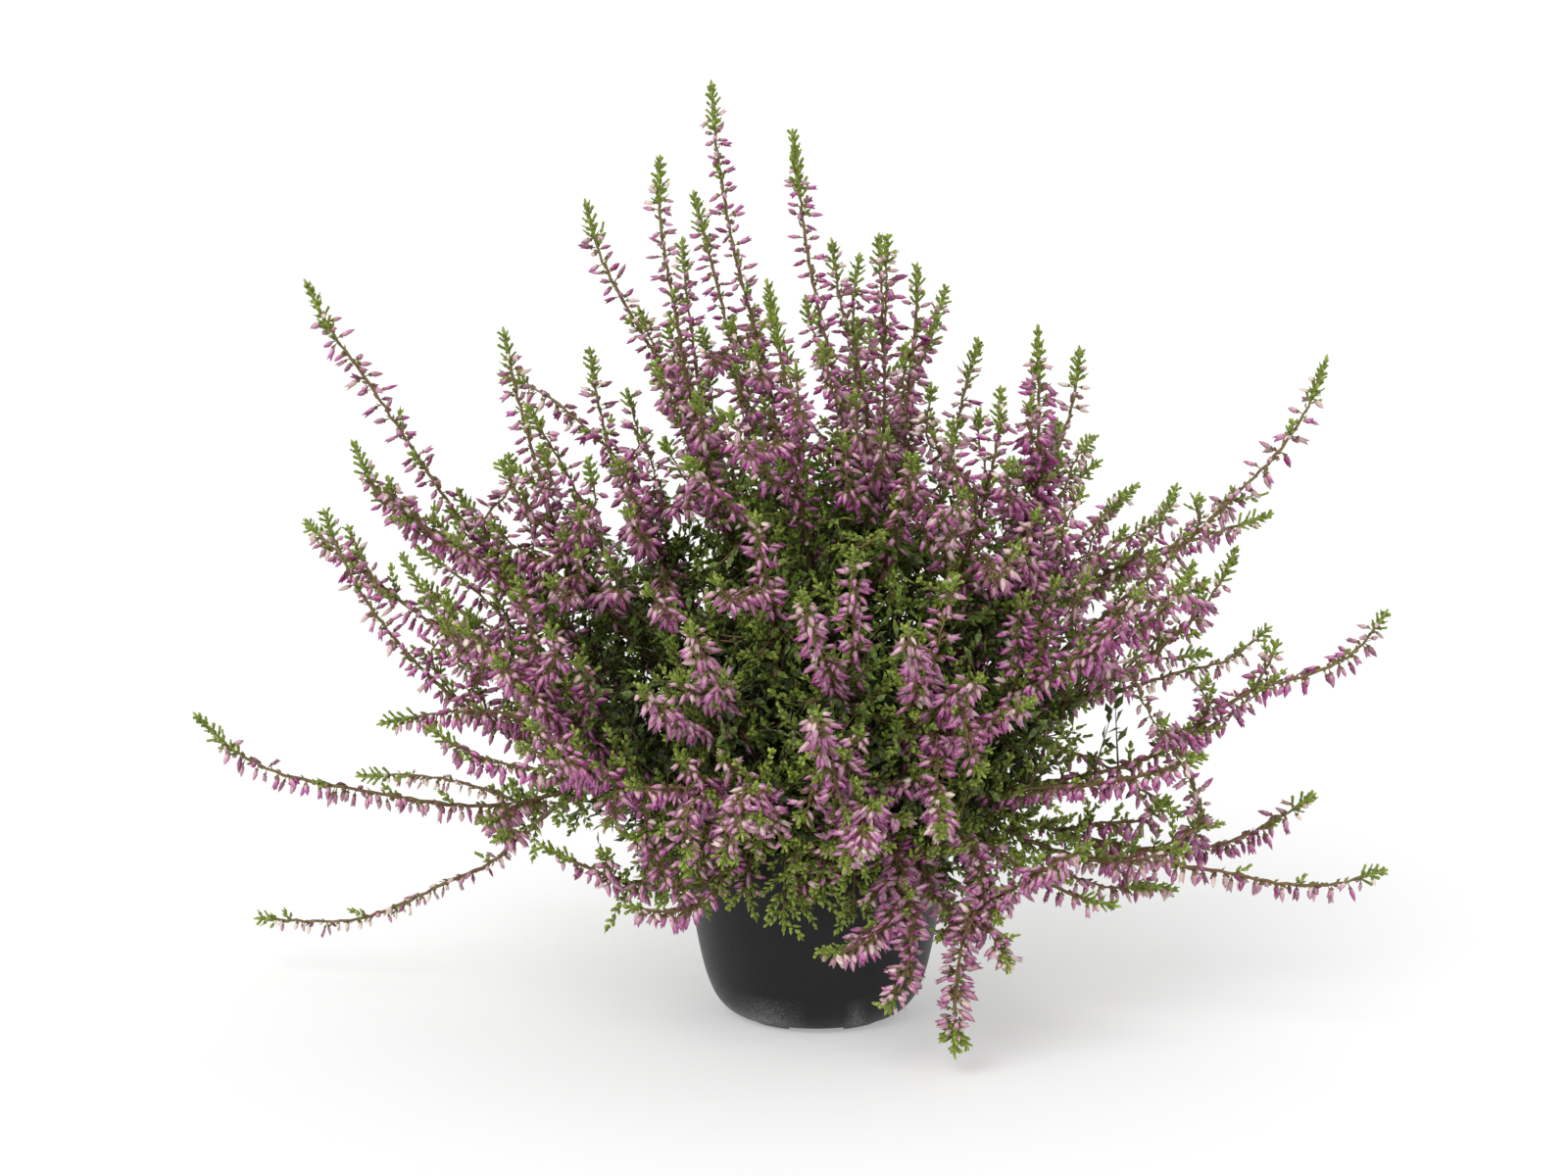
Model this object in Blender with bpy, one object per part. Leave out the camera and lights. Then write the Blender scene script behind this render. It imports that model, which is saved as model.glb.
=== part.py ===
"""Potted heather: a thin plastic pot, the soil in it, the woody root crown, and the shoots that grow from the crown.

Metres, +Z up. The origin is the middle of the pot's underside, on the surface that the pot stands on. -Y is the front.
Each shoot is a six-sided tapered solid: bare wood at its foot, the width of its leaves and flowers above, and a fine tip.
A shoot that forks is one solid, because it grew as one piece.
"""

import math

import bmesh
import bpy
import numpy as np
from mathutils import Vector

MM = 0.001

# The pot. Radii and heights of its outer face, in mm, from the foot to the lip.
POT_SIDES = 40
POT_HEIGHT = 74.0
POT_TOP_DIAMETER = 105.4
POT_WALL = 1.1
POT_FLOOR_UNDER = 1.4
POT_FLOOR_TOP = 2.6
FOOT_INNER, FOOT_OUTER = 23.6, 28.0
PAD_RADIUS = 9.0
FOOT_NOTCHES = 6
NOTCH_WIDTH, NOTCH_DEPTH = 9.0, 0.8
DRAIN_HOLES = 6
DRAIN_RADIUS, DRAIN_CIRCLE = 2.6, 16.5
POT_SIDE = [(31.5, 1.2), (34.2, 2.9), (37.5, 6.7), (39.4, 10.6), (41.4, 16.3), (43.6, 25.8), (47.1, 45.6), (51.3, 69.4)]
LIP = [(52.5, 69.9), (52.7, 73.2), (52.0, 74.0), (50.9, 74.0), (50.4, 73.2)]

# Soil and root crown, in mm.
SOIL_TOP = 64.0
GAP = 0.35
CROWN_RADIUS = 34.0
CROWN_RISE = 7.0
CROWN_FOOT = SOIL_TOP + GAP

# The shoots.
SIDES = 6
FOOT_RADIUS = 1.1
TIP_RADIUS = 0.9
LEAST_RADIUS = 0.62
LEAF_RADIUS = 2.6
FLOWER_RADIUS = 4.2
RING_SPACING = 19.0
CLEARANCE = 0.36
CROWN_DISC = 30.0
LIP_CLEAR = 79.5

# Front view that the shoots were laid out on: seen from 1.6 m away and 12 degrees above the level, with u to the
# right and v down, 0.36 mm to the unit at the pot's axis. The middle of the underside is at (833, 1027.5).
VIEW_DISTANCE = 1600.0
VIEW_TILT = math.radians(12.0)
UNIT = 0.36
VIEW_CENTRE = (800.0, 600.0)
AIM = (-11.9, 0.0, 160.6)

# name, distance of the tip in front of the axis (mm), how soon the shoot comes forward (1 = evenly), and the route
# from the tip inwards in the front view.
SHOOTS = [
    ("top_1", -10, 1.0, [(726, 87), (730, 140), (738, 195), (750, 260), (763, 310), (778, 360), (795, 450), (812, 560)]),
    ("top_2", 20, 1.0, [(809, 137), (815, 190), (822, 245), (834, 310), (847, 365), (860, 430), (862, 520), (852, 620)]),
    ("top_3", 15, 1.0, [(673, 163), (673, 215), (679, 265), (688, 310), (696, 360), (712, 440), (738, 530), (768, 620)]),
    ("top_4", -25, 1.0, [(598, 209), (608, 250), (625, 285), (645, 325), (668, 362), (700, 430), (740, 520)]),
    ("top_5", -45, 1.0, [(708, 198), (720, 245), (733, 295), (745, 345), (757, 395), (775, 470), (798, 570)]),
    ("top_6", -30, 1.0, [(849, 246), (855, 295), (866, 340), (880, 385), (885, 450), (870, 560)]),
    ("top_7", 10, 1.0, [(897, 241), (899, 290), (902, 350), (902, 440), (898, 520), (880, 620)]),
    ("top_8", -15, 1.0, [(936, 271), (935, 320), (930, 370), (925, 430), (915, 520), (890, 620)]),
    ("top_9", 40, 1.0, [(783, 290), (790, 330), (799, 375), (812, 440), (822, 520), (828, 610)]),
    ("right_1", 5, 1.0, [(1353, 367), (1342, 400), (1320, 440), (1290, 478), (1255, 510), (1210, 555), (1130, 625), (1040, 700), (960, 760)]),
    ("right_2", -72, 1.0, [(1297, 525), (1260, 537), (1215, 552), (1165, 567), (1110, 600), (1030, 665), (950, 730)]),
    ("right_3", 25, 1.0, [(1415, 625), (1395, 655), (1355, 680), (1310, 697), (1270, 707), (1230, 735), (1180, 770), (1110, 790), (1020, 805), (940, 812)]),
    ("right_4", -58, 1.0, [(1293, 642), (1260, 670), (1215, 682), (1170, 697), (1110, 710), (1030, 745), (960, 785)]),
    ("right_5", 20, 1.0, [(1262, 560), (1245, 595), (1220, 628), (1190, 658), (1150, 685), (1080, 725), (990, 770)]),
    ("right_6", -8, 1.0, [(1340, 812), (1312, 828), (1280, 850), (1225, 865), (1170, 866), (1110, 855), (1050, 838)]),
    ("right_7", 48, 1.0, [(1412, 888), (1380, 900), (1310, 902), (1250, 890), (1190, 882), (1120, 878), (1060, 862)]),
    ("right_8", 25, 1.0, [(1059, 337), (1060, 385), (1060, 440), (1058, 500), (1040, 570), (1000, 650), (950, 720)]),
    ("right_9", -48, 1.0, [(1102, 358), (1100, 395), (1087, 430), (1070, 490), (1030, 570), (970, 660)]),
    ("right_10", -25, 1.0, [(998, 348), (988, 385), (978, 425), (968, 480), (945, 560), (915, 640)]),
    ("right_11", 45, 1.0, [(1022, 397), (1019, 440), (1010, 490), (990, 560), (955, 640)]),
    ("right_12", 30, 1.0, [(1160, 495), (1135, 520), (1105, 545), (1060, 600), (1000, 670)]),
    ("right_13", 55, 1.2, [(1228, 772), (1190, 785), (1120, 800), (1060, 804), (1000, 812)]),
    ("right_14", 80, 1.2, [(1215, 585), (1180, 625), (1130, 658), (1080, 683), (1030, 715), (970, 760)]),
    ("right_15", 70, 1.4, [(1140, 925), (1100, 915), (1050, 890), (1000, 858)]),
    ("left_1", -10, 1.0, [(312, 288), (342, 345), (380, 395), (408, 440), (437, 482), (470, 530), (520, 590), (590, 660), (670, 730), (740, 780)]),
    ("left_2", 5, 1.0, [(514, 337), (522, 380), (535, 430), (550, 485), (570, 545), (600, 600), (660, 670), (730, 740)]),
    ("left_3", -50, 1.0, [(602, 357), (608, 400), (618, 440), (632, 490), (665, 560), (720, 640), (770, 710)]),
    ("left_4", 20, 1.0, [(361, 453), (375, 487), (405, 520), (445, 545), (490, 577), (550, 620), (630, 690), (710, 760)]),
    ("left_5", 38, 1.0, [(331, 523), (345, 560), (365, 600), (395, 642), (440, 692), (495, 735), (560, 765), (640, 790), (730, 805)]),
    ("left_6", -48, 1.0, [(355, 538), (385, 595), (440, 634), (500, 670), (580, 710), (670, 760), (750, 800)]),
    ("left_7", -85, 1.0, [(410, 567), (430, 600), (465, 640), (520, 680), (600, 730), (690, 780)]),
    ("left_8", 20, 1.0, [(200, 730), (225, 755), (265, 782), (310, 795), (400, 812), (470, 822), (540, 818), (600, 800), (680, 790)]),
    ("left_9", -42, 1.0, [(265, 937), (320, 940), (380, 935), (440, 907), (510, 875), (550, 835), (610, 805), (680, 798)]),
    ("left_10", 65, 1.0, [(470, 640), (520, 680), (570, 730), (640, 780), (720, 805)]),
    ("left_11", 85, 1.2, [(540, 740), (590, 775), (640, 798), (710, 810)]),
    ("left_12", 50, 1.4, [(550, 862), (600, 885), (650, 900), (700, 880), (735, 840)]),
    ("front_1", 120, 1.0, [(818, 605), (835, 660), (858, 715), (882, 760)]),
    ("front_2", 120, 1.0, [(925, 640), (935, 695), (920, 755)]),
    ("front_3", 80, 1.0, [(770, 525), (778, 570), (790, 620), (800, 690), (815, 760)]),
    ("front_4", 110, 1.0, [(705, 640), (725, 690), (755, 745)]),
    ("front_5", 105, 1.0, [(1002, 690), (960, 720), (925, 770)]),
    ("front_6", 135, 1.2, [(832, 727), (840, 765), (850, 795)]),
    ("front_7", 122, 1.8, [(882, 872), (880, 838), (868, 812)]),
    ("front_8", 112, 1.8, [(757, 852), (754, 822), (772, 802)]),
    ("front_9", 105, 1.6, [(703, 872), (700, 832), (730, 806)]),
    ("trailing_1", 83, 2.2, [(974, 1076), (975, 1040), (976, 1000), (984, 960), (1004, 915), (1000, 870)]),
    ("trailing_2", 86, 2.2, [(905, 1030), (922, 1000), (930, 965), (926, 915), (908, 866)]),
    ("trailing_3", 80, 2.0, [(1112, 862), (1060, 890), (1000, 920), (940, 928), (892, 905), (866, 868)]),
    ("trailing_4", 68, 2.0, [(640, 925), (690, 930), (735, 910), (768, 868)]),
]

# Shoots at the back: name, direction round the pot (degrees, 90 = straight back), lean from upright, length (mm)
# and droop of the outer end (mm).
BACK = [
    ("back_1", 62, 30, 215, 0),
    ("back_2", 118, 36, 200, 4),
    ("back_3", 90, 56, 190, 10),
    ("back_4", 40, 62, 180, 14),
    ("back_5", 140, 64, 185, 14),
    ("back_6", 74, 84, 165, 26),
    ("back_7", 112, 82, 170, 24),
    ("back_8", 20, 86, 150, 22),
]

# Forks: shoot it grows from, how far along that shoot it leaves, distance of its tip in front of the axis (None =
# as the shoot at that place) and its route from the tip inwards.
FORKS = [
    ("top_3", 0.55, -20, [(696, 247), (699, 285), (704, 330), (710, 370)]),
    ("top_6", 0.50, -55, [(877, 262), (871, 300), (872, 345), (874, 385)]),
    ("right_9", 0.52, -75, [(1118, 450), (1100, 475), (1082, 515)]),
    ("right_2", 0.55, -70, [(1200, 497), (1185, 530), (1165, 560)]),
    ("right_3", 0.72, 12, [(1303, 655), (1293, 680)]),
    ("right_6", 0.42, 25, [(1193, 815), (1170, 835), (1120, 840)]),
    ("right_7", 0.30, 15, [(1180, 905), (1130, 905), (1090, 893)]),
    ("left_1", 0.50, -30, [(467, 502), (490, 535), (515, 565)]),
    ("left_4", 0.78, 35, [(397, 490), (403, 508)]),
    ("left_6", 0.80, -65, [(312, 532), (335, 555)]),
    ("left_10", 0.52, 45, [(390, 738), (430, 731), (490, 724)]),
    ("left_11", 0.55, 60, [(437, 742), (475, 768), (530, 782)]),
    ("left_2", 0.38, 30, [(537, 415), (565, 460), (600, 525)]),
    ("left_3", 0.42, -75, [(512, 383), (560, 405), (600, 440), (645, 485)]),
    ("front_4", 0.45, 112, [(652, 700), (690, 735)]),
    ("front_5", 0.50, 100, [(1055, 715), (1010, 735)]),
    ("front_5", 0.40, 112, [(962, 855), (955, 810)]),
    ("trailing_3", 0.62, 84, [(1030, 990), (1016, 958)]),
    ("trailing_2", 0.55, 92, [(834, 972), (872, 968), (902, 945)]),
    ("top_9", 0.45, 78, [(700, 470), (735, 505), (775, 545)]),
    ("top_7", 0.40, 70, [(935, 465), (925, 510), (908, 560)]),
    ("front_1", 0.45, 105, [(870, 560), (872, 610), (872, 665)]),
]
BACK_FORKS = [
    ("back_1", 0.45, 30, 20, 95),
    ("back_2", 0.45, 150, 24, 90),
    ("back_3", 0.45, 75, 38, 95),
    ("back_3", 0.40, 115, 74, 80),
    ("back_4", 0.45, 20, 40, 90),
    ("back_4", 0.50, 58, 80, 70),
    ("back_5", 0.45, 165, 44, 90),
    ("back_5", 0.50, 122, 82, 70),
    ("back_6", 0.45, 92, 70, 80),
    ("back_7", 0.45, 135, 74, 75),
    ("back_8", 0.40, 45, 66, 75),
    ("back_1", 0.60, 95, 46, 75),
    ("back_2", 0.60, 80, 20, 80),
    ("back_4", 0.62, 28, 76, 62),
    ("back_5", 0.62, 155, 78, 62),
    ("back_6", 0.55, 52, 62, 68),
    ("back_7", 0.55, 100, 56, 70),
    ("left_7", 0.42, 150, 62, 85),
    ("left_9", 0.40, 165, 82, 75),
    ("left_6", 0.45, 158, 50, 80),
    ("right_2", 0.40, 32, 58, 85),
    ("right_4", 0.42, 18, 74, 75),
    ("right_9", 0.45, 42, 36, 80),
]


def place(u, v, front):
    """The point (mm) seen at (u, v) of the front view and this far in front of the pot's axis."""
    side = (u - VIEW_CENTRE[0]) * UNIT / VIEW_DISTANCE
    rise = -(v - VIEW_CENTRE[1]) * UNIT / VIEW_DISTANCE
    c, s = math.cos(VIEW_TILT), math.sin(VIEW_TILT)
    ray = np.array([side, c + rise * s, -s + rise * c])
    eye = np.array([AIM[0], -VIEW_DISTANCE * c, AIM[2] + VIEW_DISTANCE * s])
    return eye + ray * ((-front - eye[1]) / ray[1])


def crown_height(r):
    """Height of the root crown's surface at a distance from the axis, in mm."""
    return CROWN_FOOT + CROWN_RISE * max(0.0, 1.0 - (r / CROWN_RADIUS) ** 2) + 0.6


def smooth(points, spacing, least):
    """Points at even spacing along a smooth curve through the given points."""
    p = np.array(points, float)
    p = np.vstack([2 * p[0] - p[1], p, 2 * p[-1] - p[-2]])
    knots = np.concatenate([[0.0], np.cumsum(np.sqrt(np.linalg.norm(np.diff(p, axis=0), axis=1)))])
    fine = []
    for i in range(1, len(p) - 2):
        t0, t1, t2, t3 = knots[i - 1 : i + 3]
        for t in np.linspace(t1, t2, 24, endpoint=False):
            a1 = (t1 - t) / (t1 - t0) * p[i - 1] + (t - t0) / (t1 - t0) * p[i]
            a2 = (t2 - t) / (t2 - t1) * p[i] + (t - t1) / (t2 - t1) * p[i + 1]
            a3 = (t3 - t) / (t3 - t2) * p[i + 1] + (t - t2) / (t3 - t2) * p[i + 2]
            b1 = (t2 - t) / (t2 - t0) * a1 + (t - t0) / (t2 - t0) * a2
            b2 = (t3 - t) / (t3 - t1) * a2 + (t - t1) / (t3 - t1) * a3
            fine.append((t2 - t) / (t2 - t1) * b1 + (t - t1) / (t2 - t1) * b2)
    fine = np.array(fine + [p[-2]])
    run = np.concatenate([[0.0], np.cumsum(np.linalg.norm(np.diff(fine, axis=0), axis=1))])
    count = max(least, int(round(run[-1] / spacing)) + 1)
    at = np.linspace(0.0, run[-1], count)
    return np.stack([np.interp(at, run, fine[:, k]) for k in range(3)], axis=1)


def routes():
    """Every shoot's and fork's centre line, foot first: {name: points} and a list of (name, parent, at, points)."""
    outer = {}
    for name, front, soon, way in SHOOTS:
        way = way[::-1]
        flat = np.array(way, float)
        run = np.concatenate([[0.0], np.cumsum(np.linalg.norm(np.diff(flat, axis=0), axis=1))])
        start = np.linalg.norm(flat[0] - np.array([833.0, 830.0]))
        s = (run + start) / (run[-1] + start)
        outer[name] = np.array([place(u, v, front * (1 - (1 - k) ** soon)) for (u, v), k in zip(way, s)])
    for name, turn, lean, length, droop in BACK:
        a, b = math.radians(turn), math.radians(lean)
        out = np.array([math.cos(a), math.sin(a), 0.0])
        points = []
        for s in (0.35, 0.55, 0.75, 1.0):
            tilt = b * (0.72 + 0.28 * s)
            p = out * (length * s * math.sin(tilt)) + np.array([0, 0, 72.0 + length * s * math.cos(tilt)])
            points.append(p - np.array([0, 0, droop * s**2]) + np.array([0, 0, 10.0 * math.sin(math.pi * s)]))
        outer[name] = np.array(points)

    names = list(outer)
    middle = np.array([0.0, 0.0, 68.0])
    aims = np.array([outer[n][0] * 0.6 + outer[n][-1] * 0.4 - middle for n in names])
    lean = np.arctan2(np.hypot(aims[:, 0], aims[:, 1]), aims[:, 2])
    level = aims[:, :2] / np.maximum(np.hypot(aims[:, 0], aims[:, 1]), 1e-6)[:, None]
    feet = level * (CROWN_DISC * np.clip(lean / math.radians(88), 0.02, 1.0) ** 0.9)[:, None]
    for _ in range(300):
        away = feet[:, None] - feet[None]
        gap = np.hypot(away[..., 0], away[..., 1]) + np.eye(len(feet)) * 99
        push = np.where(gap < 7.2, (7.2 - gap) * 0.22, 0.0)
        feet = feet + (away / gap[..., None] * push[..., None]).sum(axis=1)
        r = np.hypot(feet[:, 0], feet[:, 1])
        feet *= np.minimum(1.0, CROWN_DISC / np.maximum(r, 1e-6))[:, None]
    lines = {}
    for name, foot in zip(names, feet):
        r = float(np.hypot(*foot))
        base = np.array([foot[0], foot[1], crown_height(r) + CLEARANCE])
        slope = 2 * CROWN_RISE * r / CROWN_RADIUS**2
        up = np.array([foot[0] / max(r, 1e-6) * slope, foot[1] / max(r, 1e-6) * slope, 1.0])
        up /= np.linalg.norm(up)
        first = outer[name][0]
        start = [base, base + up * 9.0]
        flat = float(np.hypot(first[0], first[1]))
        if flat > 56.0 and first[2] < 104.0:
            way = first[:2] / flat
            start.append(np.array([way[0] * 47.0, way[1] * 47.0, max(83.0, first[2] * 0.5 + 41.0)]))
        lines[name] = smooth(start + list(outer[name]), RING_SPACING, 8)

    forks = []
    for index, (parent, at, front, way) in enumerate(FORKS):
        line = lines[parent]
        k = at * (len(line) - 1)
        i = int(k)
        joint = line[i] * (1 - k + i) + line[i + 1] * (k - i)
        back = -joint[1]
        way = way[::-1]
        steps = [back + (front - back) * (j + 1) / len(way) for j in range(len(way))]
        points = [joint] + [place(u, v, d) for (u, v), d in zip(way, steps)]
        forks.append((parent, at, smooth(points, RING_SPACING, 4)))
    for parent, at, turn, lean, length in BACK_FORKS:
        line = lines[parent]
        k = at * (len(line) - 1)
        i = int(k)
        joint = line[i] * (1 - k + i) + line[i + 1] * (k - i)
        a, b = math.radians(turn), math.radians(lean)
        out = np.array([math.cos(a) * math.sin(b), math.sin(a) * math.sin(b), math.cos(b)])
        points = [joint + out * length * s + np.array([0, 0, 6.0 * math.sin(math.pi * s)]) for s in (0.0, 0.35, 0.7, 1.0)]
        forks.append((parent, at, smooth(points, RING_SPACING, 4)))
    return lines, forks


def nearest(p1, q1, p2, q2):
    """Nearest points of pairs of straight pieces: how far along each they lie, and the way between them."""
    d1, d2, r = q1 - p1, q2 - p2, p1 - p2
    a, e = (d1 * d1).sum(1), (d2 * d2).sum(1)
    b, c, f = (d1 * d2).sum(1), (d1 * r).sum(1), (d2 * r).sum(1)
    span = np.maximum(a * e - b * b, 1e-9)
    s = np.clip((b * f - c * e) / span, 0, 1)
    t = (b * s + f) / e
    s = np.where(t < 0, np.clip(-c / a, 0, 1), np.where(t > 1, np.clip((b - c) / a, 0, 1), s))
    t = np.clip(t, 0, 1)
    return s, t, (p1 + d1 * s[:, None]) - (p2 + d2 * t[:, None])


class Tangle:
    """All centre lines as one list of points, with the straight pieces between them and the solid each belongs to."""

    def __init__(self, lines, forks):
        self.names = list(lines)
        self.runs = []
        points, owner, share = [], [], []
        for number, name in enumerate(self.names):
            self.runs.append((len(points), len(lines[name])))
            points += list(lines[name])
            owner += [number] * len(lines[name])
            share += list(np.linspace(0, 1, len(lines[name])))
        self.joints = []
        for parent, at, line in forks:
            number = self.names.index(parent)
            first, count = self.runs[number]
            k = at * (count - 1)
            self.joints.append((len(points), first + int(k), k - int(k)))
            self.runs.append((len(points), len(line)))
            points += list(line)
            owner += [number] * len(line)
            share += list(np.linspace(at, 1, len(line)))
        self.points, self.owner, self.share = np.array(points), np.array(owner), np.array(share)
        self.pieces = np.array([first + i for first, count in self.runs for i in range(count - 1)])
        self.held = np.ones(len(points))
        for first, _ in self.runs[: len(self.names)]:
            self.held[first], self.held[first + 1] = 0.0, 0.35
        for first, _, _ in self.joints:
            self.held[first] = 0.0

    def close_pairs(self, reach):
        p, q = self.points[self.pieces], self.points[self.pieces + 1]
        middle, half = (p + q) / 2, np.linalg.norm(q - p, axis=1) / 2
        apart = np.linalg.norm(middle[:, None] - middle[None], axis=2) - half[:, None] - half[None]
        who = self.owner[self.pieces]
        i, j = np.nonzero(np.triu((apart < reach) & (who[:, None] != who[None]), 1))
        s, t, way = nearest(p[i], q[i], p[j], q[j])
        return i, j, s, t, way

    def settle(self, rounds):
        """Moves centre lines of different shoots apart, mostly in depth, and over the pot's lip."""
        favour = np.array([0.35, 1.0, 0.35])
        for _ in range(rounds):
            i, j, s, t, way = self.close_pairs(7.0)
            a, b = self.pieces[i], self.pieces[j]
            d = np.linalg.norm(way, axis=1)
            wish = 3.2 + 3.2 * np.minimum(self.share[a], self.share[b])
            near = d < wish
            a, b, s, t, way, d, wish = a[near], b[near], s[near], t[near], way[near], d[near], wish[near]
            side = np.where(way[:, 1] < 0, -1.0, 1.0)
            lead = way / np.maximum(d, 1e-6)[:, None] * favour
            lead[:, 1] += side * 0.25
            lead /= np.linalg.norm(lead, axis=1)[:, None]
            step = lead * ((wish - d) * 0.45)[:, None]
            move = np.zeros_like(self.points)
            weight = np.full(len(self.points), 1e-9)
            for end, w, sign in ((a, 1 - s, 1), (a + 1, s, 1), (b, 1 - t, -1), (b + 1, t, -1)):
                np.add.at(move, end, sign * step * w[:, None])
                np.add.at(weight, end, w)
            move /= np.maximum(weight, 1.0)[:, None]
            smoothed = move.copy()
            for first, count in self.runs:
                m = move[first : first + count]
                smoothed[first : first + count] = 0.5 * m + 0.25 * np.vstack([m[:1], m[:-1]]) + 0.25 * np.vstack([m[1:], m[-1:]])
            self.points = self.points + smoothed * self.held[:, None]
            for part in (0.0, 0.25, 0.5, 0.75):
                spot = self.points[self.pieces] * (1 - part) + self.points[self.pieces + 1] * part
                r = np.hypot(spot[:, 0], spot[:, 1])
                dome = CROWN_FOOT + CROWN_RISE * np.clip(1.0 - (r / CROWN_RADIUS) ** 2, 0, None) + (2.6 if part else 0.0)
                floor = np.where(r < 38, dome, np.where(r < 60, LIP_CLEAR, LIP_CLEAR - (r - 60) * 6.0))
                lift = np.clip(floor - spot[:, 2], 0, None)
                for end, w in ((self.pieces, 1 - part), (self.pieces + 1, part)):
                    np.maximum.at(self.points[:, 2], end, self.points[end, 2] + 0.6 * lift * w * (self.held[end] > 0.1))
            self.points[:, 2] = np.maximum(self.points[:, 2], 5.2 * (self.held > 0.5))
            for first, at, part in self.joints:
                self.points[first] = self.points[at] * (1 - part) + self.points[at + 1] * part

    def radii(self):
        """A radius for each point, so that no two shoots touch."""
        i, j, _, _, way = self.close_pairs(11.0)
        room = np.full(len(self.points), 99.0)
        d = np.linalg.norm(way, axis=1)
        for piece, far in ((self.pieces[i], d), (self.pieces[j], d)):
            np.minimum.at(room, piece, far)
            np.minimum.at(room, piece + 1, far)
        wanted = np.interp(
            self.share,
            [0.0, 0.12, 0.24, 0.40, 0.55, 0.80, 0.92, 1.0],
            [FOOT_RADIUS, FOOT_RADIUS, 1.4, LEAF_RADIUS, FLOWER_RADIUS, FLOWER_RADIUS, 3.0, TIP_RADIUS],
        )
        radius = np.minimum(wanted, room / 2 - CLEARANCE)
        return np.maximum(radius, LEAST_RADIUS), room


def tube(points, radii, sides):
    """A closed tapered tube of straight pieces, as a bmesh in metres."""
    bm = bmesh.new()
    points = [Vector(p) * MM for p in points]
    along = [(points[min(k + 1, len(points) - 1)] - points[max(k - 1, 0)]).normalized() for k in range(len(points))]
    side = along[0].orthogonal().normalized()
    rings = []
    for p, d, r in zip(points, along, radii):
        side = (side - d * side.dot(d)).normalized()
        other = d.cross(side)
        ring = []
        for k in range(sides):
            a = 2 * math.pi * k / sides
            ring.append(bm.verts.new(p + (side * math.cos(a) + other * math.sin(a)) * (r * MM)))
        rings.append(ring)
    for low, high in zip(rings, rings[1:]):
        for k in range(sides):
            n = (k + 1) % sides
            bm.faces.new((low[k], low[n], high[n], high[k]))
    bm.faces.new(rings[0][::-1])
    bm.faces.new(rings[-1])
    return bm


def turned(profile, sides, bump=None):
    """A closed solid turned round the Z axis from (radius, height) points in mm, both ends on the axis."""
    bm = bmesh.new()
    low = bm.verts.new((0, 0, profile[0][1] * MM))
    high = bm.verts.new((0, 0, profile[-1][1] * MM))
    rings = []
    for r, z in profile[1:-1]:
        ring = []
        for k in range(sides):
            a = 2 * math.pi * k / sides
            dr, dz = bump(r, z, a) if bump else (0.0, 0.0)
            ring.append(bm.verts.new(((r + dr) * MM * math.cos(a), (r + dr) * MM * math.sin(a), (z + dz) * MM)))
        rings.append(ring)
    for k in range(sides):
        n = (k + 1) % sides
        bm.faces.new((low, rings[0][n], rings[0][k]))
        bm.faces.new((high, rings[-1][k], rings[-1][n]))
        for inner, outer in zip(rings, rings[1:]):
            bm.faces.new((inner[k], inner[n], outer[n], outer[k]))
    return bm


def finish(bm, name, material, hidden=False):
    bmesh.ops.recalc_face_normals(bm, faces=bm.faces)
    mesh = bpy.data.meshes.new(name)
    bm.to_mesh(mesh)
    bm.free()
    mesh.shade_smooth()
    mesh.set_sharp_from_angle(angle=math.radians(40))
    obj = bpy.data.objects.new(name, mesh)
    bpy.context.scene.collection.objects.link(obj)
    if material:
        mesh.materials.append(material)
    if hidden:
        obj.hide_render = True
        obj.display_type = "WIRE"
    return obj


def material(name, colour, roughness):
    made = bpy.data.materials.new(name)
    made.use_nodes = True
    shader = made.node_tree.nodes["Principled BSDF"]
    shader.inputs["Base Color"].default_value = (*colour, 1.0)
    shader.inputs["Roughness"].default_value = roughness
    shader.inputs["Metallic"].default_value = 0.0
    return made


def boolean(obj, other, operation):
    change = obj.modifiers.new(operation.lower(), "BOOLEAN")
    change.operation = operation
    change.object = other
    change.solver = "EXACT"


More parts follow.
